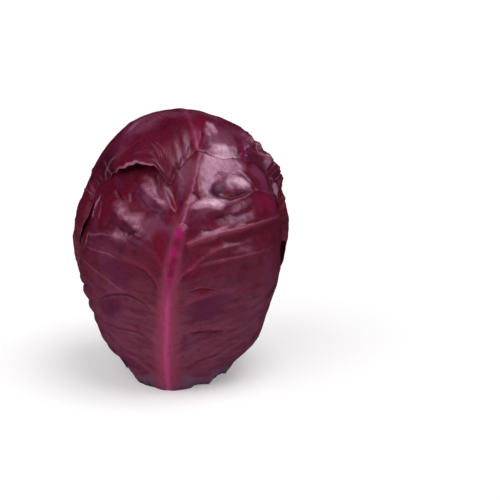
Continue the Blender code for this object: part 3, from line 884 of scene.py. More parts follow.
def facet_points(leaf):
    """Points (x, y, height) between which the blade is crumpled into facets, and the ridges between them."""
    points = []
    ridges = []
    for ridge in leaf.ridges:
        ridges += [(len(points) + i, len(points) + i + 1) for i in range(len(ridge) - 1)]
        points += ridge
    placed = np.array(points, float).reshape(-1, 3)
    chance = np.random.default_rng(leaf.seed + 20)
    for row in np.arange(-GRID_REACH, GRID_REACH, FACET_SIZE):
        for column in np.arange(-GRID_REACH, GRID_REACH, FACET_SIZE):
            x, y = np.array([column, row]) + chance.uniform(-0.42, 0.42, 2) * FACET_SIZE
            if len(placed) and np.hypot(placed[:, 0] - x, placed[:, 1] - y).min() < 0.7 * FACET_SIZE:
                continue
            height = chance.choice((-1.0, -0.5, 0.5, 1.0, 1.3)) * crumple_share(leaf, x, y)
            points.append((x, y, height))
    return points, ridges


def crumple_share(leaf, x, y):
    shares = [
        share * float(bump(math.hypot((x - middle_x) / half_x, (y - middle_y) / half_y) ** 1.5))
        for middle_x, middle_y, half_x, half_y, share in leaf.crumples
    ]
    beside_rib = abs(x - float(rib_line(leaf, y)))
    return max(shares, default=0.0) * float(smooth_step((beside_rib - 3) / 9))


def facet_grid(leaf):
    """Heights on a square grid over the leaf laid flat: flat facets, rounded a little where they meet."""
    points, ridges = facet_points(leaf)
    corners, _, faces, sources, _, _ = geometry.delaunay_2d_cdt(
        [Vector(point[:2]) for point in points], ridges, [], 0, 1e-5
    )
    heights = [points[source[0]][2] if source else 0.0 for source in sources]
    line = np.arange(-GRID_REACH, GRID_REACH, GRID_STEP)
    grid = np.zeros((len(line), len(line)))
    for face in faces:
        (ax, ay), (bx, by), (cx, cy) = (corners[i] for i in face)
        a, b, c = (heights[i] for i in face)
        columns = slice(*np.searchsorted(line, (min(ax, bx, cx), max(ax, bx, cx))))
        rows = slice(*np.searchsorted(line, (min(ay, by, cy), max(ay, by, cy))))
        x, y = np.meshgrid(line[columns], line[rows])
        whole = (by - cy) * (ax - cx) + (cx - bx) * (ay - cy)
        if abs(whole) < 1e-9 or not x.size:
            continue
        first = ((by - cy) * (x - cx) + (cx - bx) * (y - cy)) / whole
        second = ((cy - ay) * (x - cx) + (ax - cx) * (y - cy)) / whole
        third = 1 - first - second
        within = np.minimum(np.minimum(first, second), third) >= -1e-9
        grid[rows, columns] = np.where(within, first * a + second * b + third * c, grid[rows, columns])
    kernel = bump(np.arange(-4, 5) * GRID_STEP / RIDGE_ROUNDING)
    kernel /= kernel.sum()
    for axis in (0, 1):
        grid = np.apply_along_axis(np.convolve, axis, grid, kernel, "same")
    return grid


def crumpled(leaf, grid, x, y):
    """Height of the crumples, in shares, with their ridges bent a little."""
    bent_x = x + 0.8 * np.sin(y / 3.1 + leaf.phases[0]) + 0.4 * np.sin(y / 1.3 + x / 2.9)
    bent_y = y + 0.8 * np.sin(x / 2.7 + leaf.phases[1]) + 0.4 * np.sin(x / 1.4 + y / 3.3)
    column = np.clip((bent_x + GRID_REACH) / GRID_STEP, 0, len(grid) - 2)
    row = np.clip((bent_y + GRID_REACH) / GRID_STEP, 0, len(grid) - 2)
    i, j = row.astype(int), column.astype(int)
    s, t = row - i, column - j
    upper = grid[i + 1, j] * (1 - t) + grid[i + 1, j + 1] * t
    return (grid[i, j] * (1 - t) + grid[i, j + 1] * t) * (1 - s) + upper * s


def curled_share(leaf, turn):
    """How strongly the edge curls up at each turn, from 0 to 1."""
    share = np.zeros(len(turn))
    for middle, width, lift in leaf.curls:
        away = (turn - middle + 180) % 360 - 180
        share = np.maximum(share, min(lift / FULL_CURL, 1.0) * bump(away / width))
    return share


def flat_share(leaf, turn):
    """1 where the edge lies flat, falling to 0 where it curls up."""
    return 1 - smooth_step(curled_share(leaf, turn) / 0.5)


def settling(leaf, turn, inside):
    """How far the edge sinks on to the leaf below it, except where it curls up."""
    return SETTLE * bump(np.maximum(inside, 0) / SETTLE_WIDTH) * flat_share(leaf, turn)


def outer_face(index, d):
    """Radius of the outer face of an unveined leaf along unit directions d, and how far in they are."""
    leaf = LEAVES[index]
    x, y = laid_flat(leaf, d)
    turn = np.degrees(np.arctan2(x, y))
    inside = (ragged_edge(leaf, turn) - np.hypot(x, y)) * METRES_PER_DEGREE
    within = np.maximum(inside, 0)
    relief = surface(leaf, x, y, np.zeros(len(x)), np.zeros(len(x)), within)[0]
    relief = np.clip(relief, 0, room_for_relief(index, d))
    base = level_under(index, d) + LAYER_GAP + curl_height(leaf, turn, within) - settling(leaf, turn, within)
    return base + blade_thickness(within) + rib_height(leaf, x, y) + relief, inside


def blade_thickness(inside):
    return bpy.context.scene.cabbage_sizes.blade * (0.2 + 0.8 * smooth_step(inside / THIN_EDGE))


def closely_laid(d, turn, inside, inner):
    """The outermost leaf's inner face, drawn down near its edge on to the front leaf's outer face."""
    leaf = LEAVES[CAP]
    near = inside < 2.5 * REST_WIDTH
    below, within = outer_face(FRONT, d[near])
    share = bump(inside[near] / REST_WIDTH) * flat_share(leaf, turn[near])
    share *= smooth_step(within / REST_FADE)
    laid = inner.copy()
    laid[near] += np.minimum(below + REST_GAP - inner[near], 0) * share
    return laid


def room_for_relief(index, d):
    """How high a leaf's relief may rise at unit directions d, below the leaves that lie over it."""
    room = np.full(len(d), FREE_RELIEF)
    for leaf in LEAVES[index + 1:]:
        x, y = laid_flat(leaf, d)
        turn = np.degrees(np.arctan2(x, y))
        inside = (edge_reach(leaf, turn) - np.hypot(x, y)) * METRES_PER_DEGREE
        sunk = 0.0 if index == FRONT else settling(leaf, turn, inside)
        under = RELIEF_ROOM - sunk - FOLD_CLEARANCE
        open_share = smooth_step((-inside - OPEN_CLEAR) / OPEN_WIDTH)
        room = np.minimum(room, under + (FREE_RELIEF - under) * open_share)
    return room


def surface(leaf, x, y, u, w, inside):
    """The blade's relief above its plain face, and the finish of each point, with its painted highlight and
    shade.
    """
    sizes = bpy.context.scene.cabbage_sizes
    off_rib = (x - rib_line(leaf, y)) * METRES_PER_DEGREE
    share = np.clip(rib_share(leaf, y), 0, 1)
    clear_of_rib = 1 - bump(off_rib / (RIB_HALF_WIDTH * (1.1 - share)))
    swell = np.sin(x / 5.5 + leaf.phases[0] + np.sin(y / 9))
    swell *= np.sin(y / 6.5 + leaf.phases[1] + np.sin(x / 11))
    relief = SWELL_BASE + SWELL * swell
    folds, vein, sets = folded(leaf, x, y)
    relief += folds
    grown = np.zeros((len(x), 3))
    if leaf.veined:
        wander = 0.10 * np.sin(3.1 * u + 5 * w + leaf.phases[0])
        wander += 0.05 * np.sin(9 * u + 11 * w + leaf.phases[1])
        phase = VEIN_PAIRS * w + 0.45 * (u > 0) + wander
        off_vein = (phase - np.round(phase)) * VEIN_SPACING
        fade = (1 - 0.7 * np.abs(u)) * smooth_step(w / 0.1) * smooth_step((0.88 - w) / 0.15)
        ridge = bump(off_vein / (VEIN_HALF_WIDTH * (1 - 0.5 * np.abs(u)))) * fade
        pillow = sizes.pillow * (1 - bump(off_vein / PILLOW_EDGE)) * smooth_step((0.82 - w) / 0.2)
        relief += sizes.vein * ridge + pillow * clear_of_rib
        vein = np.maximum(vein, 0.6 * ridge)
        # Painted shade and painted highlight beside the grown veins
        grown = line_values(off_vein, fade * near_line(off_vein), 0.3, 0.25)
    grid = facet_grid(leaf)
    height = crumpled(leaf, grid, x, y)
    facing = height - crumpled(leaf, grid, x + 0.9, y + 0.7)
    relief += sizes.crumple * height * (0.25 + 0.75 * clear_of_rib)
    look = {name: np.zeros(len(x)) for name in TINTS}
    warp = np.sin(x / 3.7 + 2 * np.sin(y / 5)) + 0.5 * np.sin(y / 2.1 + x / 3)
    for patch in leaf.patches:
        look[patch.tint] = np.maximum(look[patch.tint], patch.on(x + warp, y + warp))
    # Painted light on the crumples: the lilac is stronger as painted highlight where a facet faces the light
    # at the upper right, and violet is laid as painted shade where it faces away
    look["wax_and_highlight"] *= np.clip(0.9 + 1.2 * facing, 0.6, 1.2)
    look["violet"] = np.maximum(look["violet"], np.clip(-2.0 * facing - 0.15, 0, 0.8))
    look["vein"] = vein
    look["inside"] = np.minimum(inside, CURL_REACH) * MILLIMETRES
    off_rib = np.clip(off_rib, -RIB_REACH, RIB_REACH) * MILLIMETRES
    rib = np.stack([off_rib, share, np.full(len(x), leaf.crest)], axis=1)
    vectors = {"rib": rib, "grown": grown}
    vectors.update({f"lines_{i}": line for i, line in enumerate(sets)})
    return relief * smooth_step(inside / THIN_EDGE), look, vectors


def lay_over_head(piece, index):
    """Moves a flat blade's points to their places on the head, and notes each point's finish."""
    leaf = LEAVES[index]
    mesh = piece.data
    flat = np.empty(len(mesh.vertices) * 3)
    mesh.vertices.foreach_get("co", flat)
    u, v, depth = flat.reshape(-1, 3).T
    w = np.clip((v + 1) / 2, 0, 1)
    u = np.clip(u, -1, 1)
    x, y = vein_rows(leaf, u, w)
    turn = np.degrees(np.arctan2(x, y))
    inside = np.maximum((ragged_edge(leaf, turn) - np.hypot(x, y)) * METRES_PER_DEGREE, 0)
    d = directions(leaf, x, y)
    relief, look, vectors = surface(leaf, x, y, u, w, inside)
    relief = np.clip(relief, 0, room_for_relief(index, d))
    curl = curl_height(leaf, turn, inside)
    inner = level_under(index, d) + LAYER_GAP + curl
    if index == CAP:
        inner = closely_laid(d, turn, inside, inner)
    else:
        inner -= settling(leaf, turn, inside)
    blade = blade_thickness(inside)
    lifted = curled_share(leaf, turn)
    lip = LIP_HEIGHT * lifted * bump((inside - LIP_INSET) / LIP_WIDTH)
    outer = inner + blade + rib_height(leaf, x, y) + relief + lip
    radius = np.where(depth > -FLAT_DEPTH / 2, outer, inner)
    place = MIDDLE + radius[:, None] * d
    mesh.vertices.foreach_set("co", place.ravel())
    look["curled"] = lifted
    ragged = 0.7 * np.sin(x * 0.35 + leaf.seed)
    look["cut"] = smooth_step((CUT_HEIGHT - place[:, 2]) / CUT_BLEND + ragged)
    # Painted shade low on the foot, where it meets the floor
    shaded = 0.9 * smooth_step((SHADE_HEIGHT - place[:, 2]) / SHADE_BLEND)
    look["dark"] = np.maximum(look["dark"], shaded)
    for name, values in look.items():
        mesh.attributes.new(name, "FLOAT", "POINT").data.foreach_set("value", values)
    vectors["spot"] = np.stack([x, y, np.full(len(u), 3.0 * leaf.seed)], axis=1)
    vectors["rows"] = np.stack([u, w, np.full(len(u), leaf.seed)], axis=1)
    for name, values in vectors.items():
        mesh.attributes.new(name, "FLOAT_VECTOR", "POINT").data.foreach_set("vector", values.ravel())
    mesh.update()


def alone(piece):
    """Leaves only this piece selected and active."""
    if bpy.context.mode != "OBJECT":
        bpy.ops.object.mode_set(mode="OBJECT")
    bpy.ops.object.select_all(action="DESELECT")
    piece.select_set(True)
    bpy.context.view_layer.objects.active = piece


def flat_blade(name, columns, rows):
    """A flat grid, 2 across, with a second face under it and a rim round the two."""
    bpy.ops.object.select_all(action="DESELECT")
    bpy.ops.mesh.primitive_grid_add(x_subdivisions=columns, y_subdivisions=rows, size=2.0)
    piece = bpy.context.active_object
    piece.name = name
    piece.data.name = name
    solid = piece.modifiers.new("thickness", "SOLIDIFY")
    solid.thickness = FLAT_DEPTH
    solid.offset = -1.0
    bpy.ops.object.modifier_apply(modifier=solid.name)
    return piece


def cut_flush(piece):
    """Cuts away what is below the surface that the head stands on, and closes the cut."""
    alone(piece)
    bpy.ops.object.mode_set(mode="EDIT")
    bpy.ops.mesh.select_all(action="SELECT")
    bpy.ops.mesh.bisect(
        plane_co=(0, 0, 0), plane_no=(0, 0, 1), use_fill=True, clear_inner=True, threshold=1e-6
    )
    bpy.ops.mesh.select_all(action="SELECT")
    bpy.ops.mesh.normals_make_consistent(inside=False)
    bpy.ops.object.mode_set(mode="OBJECT")


def fray_foot(piece):
    """Lifts the leaf's cut edge a little here and there, as where it was torn, and spreads its left side."""
    place = np.empty(len(piece.data.vertices) * 3)
    piece.data.vertices.foreach_get("co", place)
    place = place.reshape(-1, 3)
    turn = np.degrees(np.arctan2(place[:, 0], -place[:, 1]))
    t = np.radians(turn)
    waves = 1 + np.sin(23 * t + 2 * np.sin(9 * t))
    lift = FRAY_HEIGHT * waves * smooth_step((np.abs(turn - 1) - 7) / 8)
    lift += TORN_LIFT * bump((turn - TORN_TURN) / TORN_WIDTH)
    spread = FOOT_SKIRT * bump((turn + TORN_TURN) / SKIRT_WIDTH)
    spread *= smooth_step(1 - place[:, 2] / SKIRT_HEIGHT)
    place[:, 0] += spread * np.sin(t)
    place[:, 1] -= spread * np.cos(t)
    place[:, 2] += lift * smooth_step(1 - place[:, 2] / TORN_HEIGHT)
    piece.data.vertices.foreach_set("co", place.ravel())
    piece.data.update()


def finish_piece(piece, slot, *nodes):
    alone(piece)
    bpy.ops.object.shade_smooth()
    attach(piece, BODY)
    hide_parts(*nodes)


class Paint:
    """One material's nodes, built from the left to the right."""

    def __init__(self, name):
        self.material = bpy.data.materials.new(name)
        self.material.use_nodes = True
        self.tree = self.material.node_tree
        self.shader = self.tree.nodes["Principled BSDF"]
        self.object = self.tree.nodes.new("ShaderNodeTexCoord").outputs["Object"]

    def join(self, value, socket):
        if isinstance(value, bpy.types.NodeSocket):
            self.tree.links.new(value, socket)
        elif socket.type == "RGBA":
            socket.default_value = (*value, 1.0)
        else:
            socket.default_value = value

    def attribute(self, name, output="Fac"):
        node = self.tree.nodes.new("ShaderNodeAttribute")
        node.attribute_name = name
        return node.outputs[output]

    def math(self, operation, first, second=0.0, clamp=False):
        node = self.tree.nodes.new("ShaderNodeMath")
        node.operation = operation
        node.use_clamp = clamp
        self.join(first, node.inputs[0])
        self.join(second, node.inputs[1])
        return node.outputs[0]

    def ramp(self, value, low, high, to_low=0.0, to_high=1.0):
        node = self.tree.nodes.new("ShaderNodeMapRange")
        node.interpolation_type = "SMOOTHSTEP"
        for socket, given in zip(node.inputs, (value, low, high, to_low, to_high)):
            self.join(given, socket)
        return node.outputs[0]

    def stretch(self, vector, scale):
        node = self.tree.nodes.new("ShaderNodeMapping")
        self.join(vector, node.inputs["Vector"])
        self.join(scale, node.inputs["Scale"])
        return node.outputs[0]

    def turned(self, vector, degrees):
        node = self.tree.nodes.new("ShaderNodeMapping")
        self.join(vector, node.inputs["Vector"])
        self.join((0.0, 0.0, math.radians(degrees)), node.inputs["Rotation"])
        return node.outputs[0]

    def noise(self, vector, scale, detail=3.0, roughness=0.55, distortion=0.0):
        node = self.tree.nodes.new("ShaderNodeTexNoise")
        self.join(vector, node.inputs["Vector"])
        self.join(scale, node.inputs["Scale"])
        self.join(detail, node.inputs["Detail"])
        self.join(roughness, node.inputs["Roughness"])
        self.join(distortion, node.inputs["Distortion"])
        return node.outputs["Fac"]

    def cells(self, vector, scale):
        """Distance to the walls of random cells."""
        node = self.tree.nodes.new("ShaderNodeTexVoronoi")
        node.feature = "DISTANCE_TO_EDGE"
        self.join(vector, node.inputs["Vector"])
        self.join(scale, node.inputs["Scale"])
        return node.outputs["Distance"]

    def parts(self, name):
        """The three numbers of an attribute."""
        node = self.tree.nodes.new("ShaderNodeSeparateXYZ")
        self.join(self.attribute(name, "Vector"), node.inputs[0])
        return node.outputs

    def band(self, off, middle, half_width):
        """1 where off is middle, falling to 0 at half_width to both sides."""
        away = self.math("ABSOLUTE", self.math("SUBTRACT", off, middle))
        return self.ramp(away, 0.0, half_width, 1.0, 0.0)

    def mix(self, share, first, second):
        node = self.tree.nodes.new("ShaderNodeMix")
        node.data_type = "RGBA"
        self.join(share, node.inputs["Factor"])
        self.join(first, node.inputs["A"])
        self.join(second, node.inputs["B"])
        return node.outputs["Result"]

    def bump(self, height, distance, strength=1.0, under=None):
        node = self.tree.nodes.new("ShaderNodeBump")
        self.join(strength, node.inputs["Strength"])
        self.join(distance, node.inputs["Distance"])
        self.join(height, node.inputs["Height"])
        if under is not None:
            self.join(under, node.inputs["Normal"])
        return node.outputs["Normal"]

    def set(self, **inputs):
        for name, value in inputs.items():
            self.join(value, self.shader.inputs[name.replace("_", " ")])


def fine_lines(paint, wobble):
    """How much painted shade and painted highlight the fine lines lay on each point, from every set of lines.
    """
    dark = 0.0
    pale = 0.0
    for name in ("grown", *(f"lines_{i}" for i in range(LINE_SETS))):
        off, dark_share, pale_share = paint.parts(name)
        off = paint.math("ADD", off, wobble)
        shade = paint.math("MULTIPLY", paint.band(off, -0.1, 1.4), dark_share)
        shine = paint.math("MULTIPLY", paint.band(off, 0.95, 1.2), pale_share)
        dark = paint.math("MAXIMUM", shade, dark)
        pale = paint.math("MAXIMUM", shine, pale)
    return dark, pale


class LeafPaint(Paint):
    """The paint of a leaf, with the noises and the marks of the mesh that its layers share."""

    def __init__(self, name):
        super().__init__(name)
        self.colours = bpy.context.scene.cabbage_colours
        self.spot = self.attribute("spot", "Vector")
        rows = self.attribute("rows", "Vector")
        self.off_rib, self.along, self.crest_share = self.parts("rib")
        self.clouds = self.noise(self.object, 34.0, 4.0, 0.6, 0.3)
        self.streaks = self.noise(self.stretch(rows, (6.0, 52.0, 1.0)), 1.0, 4.0, 0.6, 0.7)
        self.mottle = self.noise(self.object, 130.0, 4.0, 0.6, 0.2)
        self.fibres = self.noise(self.stretch(self.spot, (1.3, 0.07, 1.0)), 1.0, 3.0, 0.6)
        self.rough_share = self.ramp(self.mottle, 0.3, 0.7, 0.72, 1.12)
        shake = self.noise(self.stretch(self.spot, (0.5, 0.5, 1.0)), 1.0, 3.0)
        self.wobble = self.ramp(shake, 0.3, 0.7, -0.35, 0.35)

    def patch(self, name, low=0.15, high=0.8, most=1.0):
        """A painted patch, frayed by the clouds and the mottle."""
        frayed = self.math("ADD", self.attribute(name), self.ramp(self.clouds, 0.3, 0.7, -0.22, 0.22))
        frayed = self.math("ADD", frayed, self.ramp(self.mottle, 0.3, 0.7, -0.10, 0.10))
        return self.ramp(frayed, low, high, 0.0, most)

    def over(self, colour, share, shade, strength=1.0):
        """A shade laid over the colour, where its share is above 0."""
        if strength != 1.0:
            share = self.math("MULTIPLY", share, strength)
        return self.mix(share, colour, shade)


def blade_ground(paint, dusk):
    """Maroon with violet, red and cerise patches, and dusky mauve low on the leaf.
    The violet is partly painted shade on facets that face away from the light and the red partly painted
    shade beside the midrib; the mauve is partly wax bloom and partly a painted reflection of the pale floor.
    """
    colours = paint.colours
    colour = paint.mix(paint.ramp(paint.clouds, 0.45, 0.7), colours.maroon, colours.plum)
    colour = paint.over(colour, paint.ramp(paint.streaks, 0.45, 0.75, 0.0, 0.6), colours.red)
    colour = paint.over(colour, dusk, colours.mauve, 0.8)
    colour = paint.over(colour, paint.patch("mauve", most=0.75), colours.mauve)
    # The soft edge of the lilac patches, partly wax and partly painted highlight
    colour = paint.over(colour, paint.patch("wax_and_highlight", 0.10, 0.55, 0.7), colours.film)
    colour = paint.over(colour, paint.patch("violet", most=0.85), colours.plum)
    colour = paint.over(colour, paint.patch("red", most=0.95), colours.red)
    return paint.over(colour, paint.patch("cerise", most=0.9), colours.cerise)


def wax_and_painted_light(paint, colour):
    """Lilac on the raised facets, partly wax and partly painted highlight, rubbed off in streaks, and how
    thick it is, with painted highlight on the brightest facets and painted shade on the dark patches.
    """
    colours = paint.colours
    turned = paint.turned(paint.spot, -FACET_TURN)
    grooves = paint.noise(paint.stretch(turned, (1.1, 0.10, 1.0)), 1.0, 3.0, 0.6)
    wax = paint.math("MULTIPLY", paint.patch("wax_and_highlight", 0.40, 0.78, 0.92), paint.rough_share)
    wax = paint.math("MULTIPLY", wax, paint.ramp(grooves, 0.32, 0.6, 0.65, 1.05))
    wax = paint.math("MULTIPLY", wax, paint.ramp(paint.attribute("violet"), 0.55, 1.0, 1.0, 0.1))
    colour = paint.over(colour, wax, colours.wax_and_highlight)
    grooved = paint.ramp(grooves, 0.35, 0.6, 0.5, 1.0)
    # Painted highlight in the middle of the brightest facets
    highlighted = paint.math("MULTIPLY", paint.patch("wax_and_highlight", 0.80, 1.5, 0.85), grooved)
    colour = paint.over(colour, highlighted, colours.painted_highlight)
    # Painted shade on the dark patches: under lifted rims, in dents and in hollows
    colour = paint.over(colour, paint.patch("dark", most=0.85), colours.wine_and_painted_shade)
    return paint.over(colour, paint.ramp(paint.mottle, 0.5, 0.25, 0.0, 0.4), colours.wine_and_painted_shade), wax


def vein_net(paint, colour):
    """The finest veins, and the rose of the side veins."""
    rose = paint.colours.rose
    net = paint.ramp(paint.cells(paint.stretch(paint.spot, (0.36, 0.36, 0.36)), 1.0), 0.0, 0.08, 1.0, 0.0)
    colour = paint.over(colour, net, rose, 0.10)
    return paint.over(colour, paint.attribute("vein"), rose, 0.85)


def rib_flanks(paint, colour):
    """Rose flanks of the midrib, with its fibres, and how strong they are."""
    narrowing = paint.ramp(paint.along, 0.0, 0.85, 13.0, 3.0)
    aside = paint.math("DIVIDE", paint.math("ABSOLUTE", paint.off_rib), narrowing)
    flank = paint.ramp(aside, 0.25, 1.1, 0.95, 0.0)
    flank = paint.math("MULTIPLY", flank, paint.ramp(paint.fibres, 0.3, 0.7, 0.55, 1.0))
    share = paint.math("MULTIPLY", flank, paint.ramp(paint.along, 0.66, 0.5, 0.35, 1.0))
    return paint.over(colour, share, paint.colours.rose), flank


def rib_crest(paint, colour):
    """The midrib's crest: orchid at the foot, magenta where it swells, and pale above its fork."""
    colours = paint.colours
    along = paint.along
    drift = paint.noise(paint.stretch(paint.spot, (0.05, 0.3, 1.0)), 1.0, 2.0)
    wander = paint.ramp(drift, 0.3, 0.7, -0.5, 0.5)
    swollen = paint.math("MULTIPLY", paint.ramp(along, 0.40, 0.50), paint.ramp(along, 0.612, 0.60))
    slender = paint.ramp(along, 0.55, 0.64, 1.9, 0.8)
    width = paint.math("ADD", slender, paint.math("MULTIPLY", swollen, 1.3))
    beside = paint.math("ABSOLUTE", paint.math("ADD", paint.off_rib, wander))
    crest = paint.ramp(paint.math("DIVIDE", beside, width), 0.1, 1.5, 1.0, 0.0)
    crest = paint.math("MULTIPLY", crest, paint.ramp(paint.fibres, 0.3, 0.65, 0.7, 1.0))
    crest = paint.math("MULTIPLY", crest, paint.ramp(along, 0.86, 0.78))
    crest = paint.math("MULTIPLY", crest, paint.crest_share)
    crest = paint.math("MULTIPLY", crest, paint.ramp(along, 0.60, 0.64, 0.95, 0.6))
    shade = paint.mix(paint.ramp(paint.mottle, 0.35, 0.65), colours.red, colours.magenta)
    shade = paint.mix(paint.ramp(along, 0.34, 0.46), colours.orchid, shade)
    shade = paint.mix(paint.ramp(along, 0.595, 0.615), shade, colours.edge)
    return paint.over(colour, crest, shade)


def rim_and_foot(paint, colour, flank):
    """The pale rim, partly the leaf's own paler edge and partly painted highlight, widest where the edge
    curls up, and the grey bloom of the cut foot.
    """
    colours = paint.colours
    curled = paint.attribute("curled")
    inside = paint.math("ADD", paint.attribute("inside"), paint.wobble)
    rim = paint.ramp(paint.math("DIVIDE", inside, paint.ramp(curled, 0.0, 1.0, 0.5, 1.6)), 0.5, 1.1, 1.0, 0.0)
    rim = paint.math("MULTIPLY", rim, paint.ramp(curled, 0.0, 0.8, 0.12, 0.8))
    colour = paint.over(colour, paint.math("MULTIPLY", rim, paint.rough_share), colours.edge)
    foot = paint.math("MULTIPLY", paint.attribute("cut"), paint.ramp(paint.mottle, 0.3, 0.6, 0.6, 1.0))
    foot = paint.math("MULTIPLY", foot, paint.ramp(flank, 0.1, 0.5, 1.0, 0.25))
    return paint.over(colour, foot, colours.cut, 0.9)


def waxy_leaf():
    """Maroon leaf with violet and red patches, a lilac film that is partly wax and partly painted highlight,
    magenta ribs, and fine lines of painted shade and painted highlight.
    """
    found = bpy.data.materials.get("waxy_leaf")
    if found:
        return found
    paint = LeafPaint("waxy_leaf")
    # Dusky mauve low on the leaf: partly wax bloom, partly a painted reflection of the pale floor
    low = paint.ramp(paint.along, 0.64, 0.22)
    dusk = paint.math("MULTIPLY", low, paint.ramp(paint.streaks, 0.3, 0.65, 0.3, 1.0))
    colour = blade_ground(paint, dusk)
    colour, wax = wax_and_painted_light(paint, colour)
    colour = vein_net(paint, colour)
    colour, flank = rib_flanks(paint, colour)
    colour = rib_crest(paint, colour)
    dark, pale = fine_lines(paint, paint.wobble)
    dark = paint.math("MULTIPLY", dark, paint.ramp(paint.mottle, 0.3, 0.65, 0.7, 1.0))
    pale = paint.math("MULTIPLY", pale, paint.ramp(paint.mottle, 0.35, 0.6, 0.55, 1.0))
    # Painted shade in the creases and painted highlight along the ridges
    colour = paint.over(colour, dark, paint.colours.wine_and_painted_shade, 0.6)
    colour = paint.over(colour, pale, paint.colours.edge, 0.5)
    colour = rim_and_foot(paint, colour, flank)

    grain = paint.noise(paint.object, 420.0, 3.0, 0.6)
    sheen = paint.math("MAXIMUM", wax, paint.math("MULTIPLY", dusk, 0.4))
    rough = paint.ramp(sheen, 0.0, 0.8, 0.36, 0.42)
    rough = paint.math("ADD", rough, paint.ramp(grain, 0.3, 0.7, -0.03, 0.05))
    relief = paint.math("SUBTRACT", paint.math("MULTIPLY", pale, 0.8), dark)
    line_bump = paint.bump(relief, 0.0006, 0.8)
    streak_bump = paint.bump(paint.streaks, 0.0006, 0.35, line_bump)
    mottle_bump = paint.bump(paint.mottle, 0.0005, 0.45, streak_bump)
    grain_bump = paint.bump(grain, 0.00012, 0.5, mottle_bump)
    paint.set(Base_Color=colour, Roughness=rough, Normal=grain_bump)
    paint.set(Specular_IOR_Level=0.17)
    return paint.material


def add_leaf(index):
    leaf = LEAVES[index]
    sizes = bpy.context.scene.cabbage_sizes
    columns = round(sizes.leaf_columns * leaf.detail / 2) * 2
    piece = flat_blade("wrapper_" + leaf.name, columns, round(sizes.leaf_rows * leaf.detail))
    lay_over_head(piece, index)
    cut_flush(piece)
    fray_foot(piece)
    piece.data.materials.append(waxy_leaf())
    finish_piece(piece, "blade", leaf.name)
    return {"FINISHED"}


class CABBAGE_OT_right_leaf(bpy.types.Operator):
    """Add the wrapper leaf on the right"""

    bl_idname = "cabbage.right_leaf"
    bl_label = "Right Leaf"

    def execute(self, context):
        return add_leaf(RIGHT)


class CABBAGE_OT_left_leaf(bpy.types.Operator):
    """Add the wrapper leaf on the left"""

    bl_idname = "cabbage.left_leaf"
    bl_label = "Left Leaf"

    def execute(self, context):
        return add_leaf(LEFT)


class CABBAGE_OT_front_leaf(bpy.types.Operator):
    """Add the wrapper leaf in front, with the tall midrib"""

    bl_idname = "cabbage.front_leaf"
    bl_label = "Front Leaf"

    def execute(self, context):
        return add_leaf(FRONT)


class CABBAGE_OT_cap_leaf(bpy.types.Operator):
    """Add the leaf that comes over the crown from behind"""

    bl_idname = "cabbage.cap_leaf"
    bl_label = "Cap Leaf"

    def execute(self, context):
        return add_leaf(CAP)


class CABBAGE_OT_heart(bpy.types.Operator):
    """Give the heart its finish of tightly folded leaves"""

    bl_idname = "cabbage.heart"
    bl_label = "Heart"

    def execute(self, context):
        colours = context.scene.cabbage_colours
        paint = Paint("folded_leaves")
        layers = paint.noise(paint.stretch(paint.object, (1.0, 1.0, 3.0)), 60.0, 4.0, 0.6, 1.5)
        colour = paint.mix(paint.ramp(layers, 0.35, 0.65), colours.plum, colours.rose)
        paint.set(Base_Color=colour, Roughness=0.5, Normal=paint.bump(layers, 0.0006))
        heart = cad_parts["heart"]
        heart.data.materials.clear()
        heart.data.materials.append(paint.material)
        return {"FINISHED"}


class CABBAGE_OT_stem(bpy.types.Operator):
    """Give the stem its pale, fibrous flesh"""

    bl_idname = "cabbage.stem"
    bl_label = "Stem"

    def execute(self, context):
        colours = context.scene.cabbage_colours
        paint = Paint("stem_flesh")
        fibres = paint.noise(paint.stretch(paint.object, (1.0, 1.0, 0.1)), 900.0, 4.0, 0.6)
        colour = paint.mix(paint.ramp(fibres, 0.3, 0.75), colours.flesh, colours.edge)
        paint.set(Base_Color=colour, Roughness=0.6, Normal=paint.bump(fibres, 0.0003))
        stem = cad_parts["stem"]
        stem.data.materials.clear()
        stem.data.materials.append(paint.material)
        return {"FINISHED"}


CAMERA_PLACE = (0.0464, -0.7730, 0.2930)
CAMERA_AIM = (0.0464, 0.0220, 0.0800)
CAMERA_LENS = 85.0
SENSOR_WIDTH = 36.0
FLOOR_SIZE = 40.0

LIGHT_AIM = (0.0, 0.0, 0.09)
KEY_PLACE = (0.36, -0.24, 1.2)
KEY_ANGLE = 40.0
FILL_PLACE = (-0.70, -0.75, 0.95)
FILL_ANGLE = 60.0
RIGHT_BOX_PLACE = (0.60, -0.18, 0.80)
RIGHT_BOX_SIZE = (0.40, 0.55)
LEFT_BOX_PLACE = (-0.95, -0.50, 0.55)
LEFT_BOX_SIZE = (0.4, 0.7)
SOFT_ROOM = (0.30, 0.295, 0.30)
DIM_ROOM = (0.020, 0.012, 0.018)
GLOSS_TINT = (1.0, 0.78, 1.0)
WHITE_ROOM = (1.0, 1.0, 1.0)


def aimed_light(kind, name, place, power):
    bpy.ops.object.select_all(action="DESELECT")
    bpy.ops.object.light_add(type=kind, location=place)
    lamp = bpy.context.active_object
    lamp.name = name
    lamp.rotation_euler = (Vector(LIGHT_AIM) - Vector(place)).to_track_quat("-Z", "Y").to_euler()
    lamp.data.energy = power
    return lamp


def broad_light(name, place, angle, power):
    """An even soft light, which leaves the gloss to the softboxes."""
    lamp = aimed_light("SUN", name, place, power)
    lamp.data.angle = math.radians(angle)
    lamp.visible_glossy = False


def softbox(name, place, size, power):
    """A softbox that is seen in the gloss alone."""
    lamp = aimed_light("AREA", name, place, power)
    lamp.data.shape = "RECTANGLE"
    lamp.data.size, lamp.data.size_y = size
    lamp.data.color = GLOSS_TINT
    lamp.visible_diffuse = False


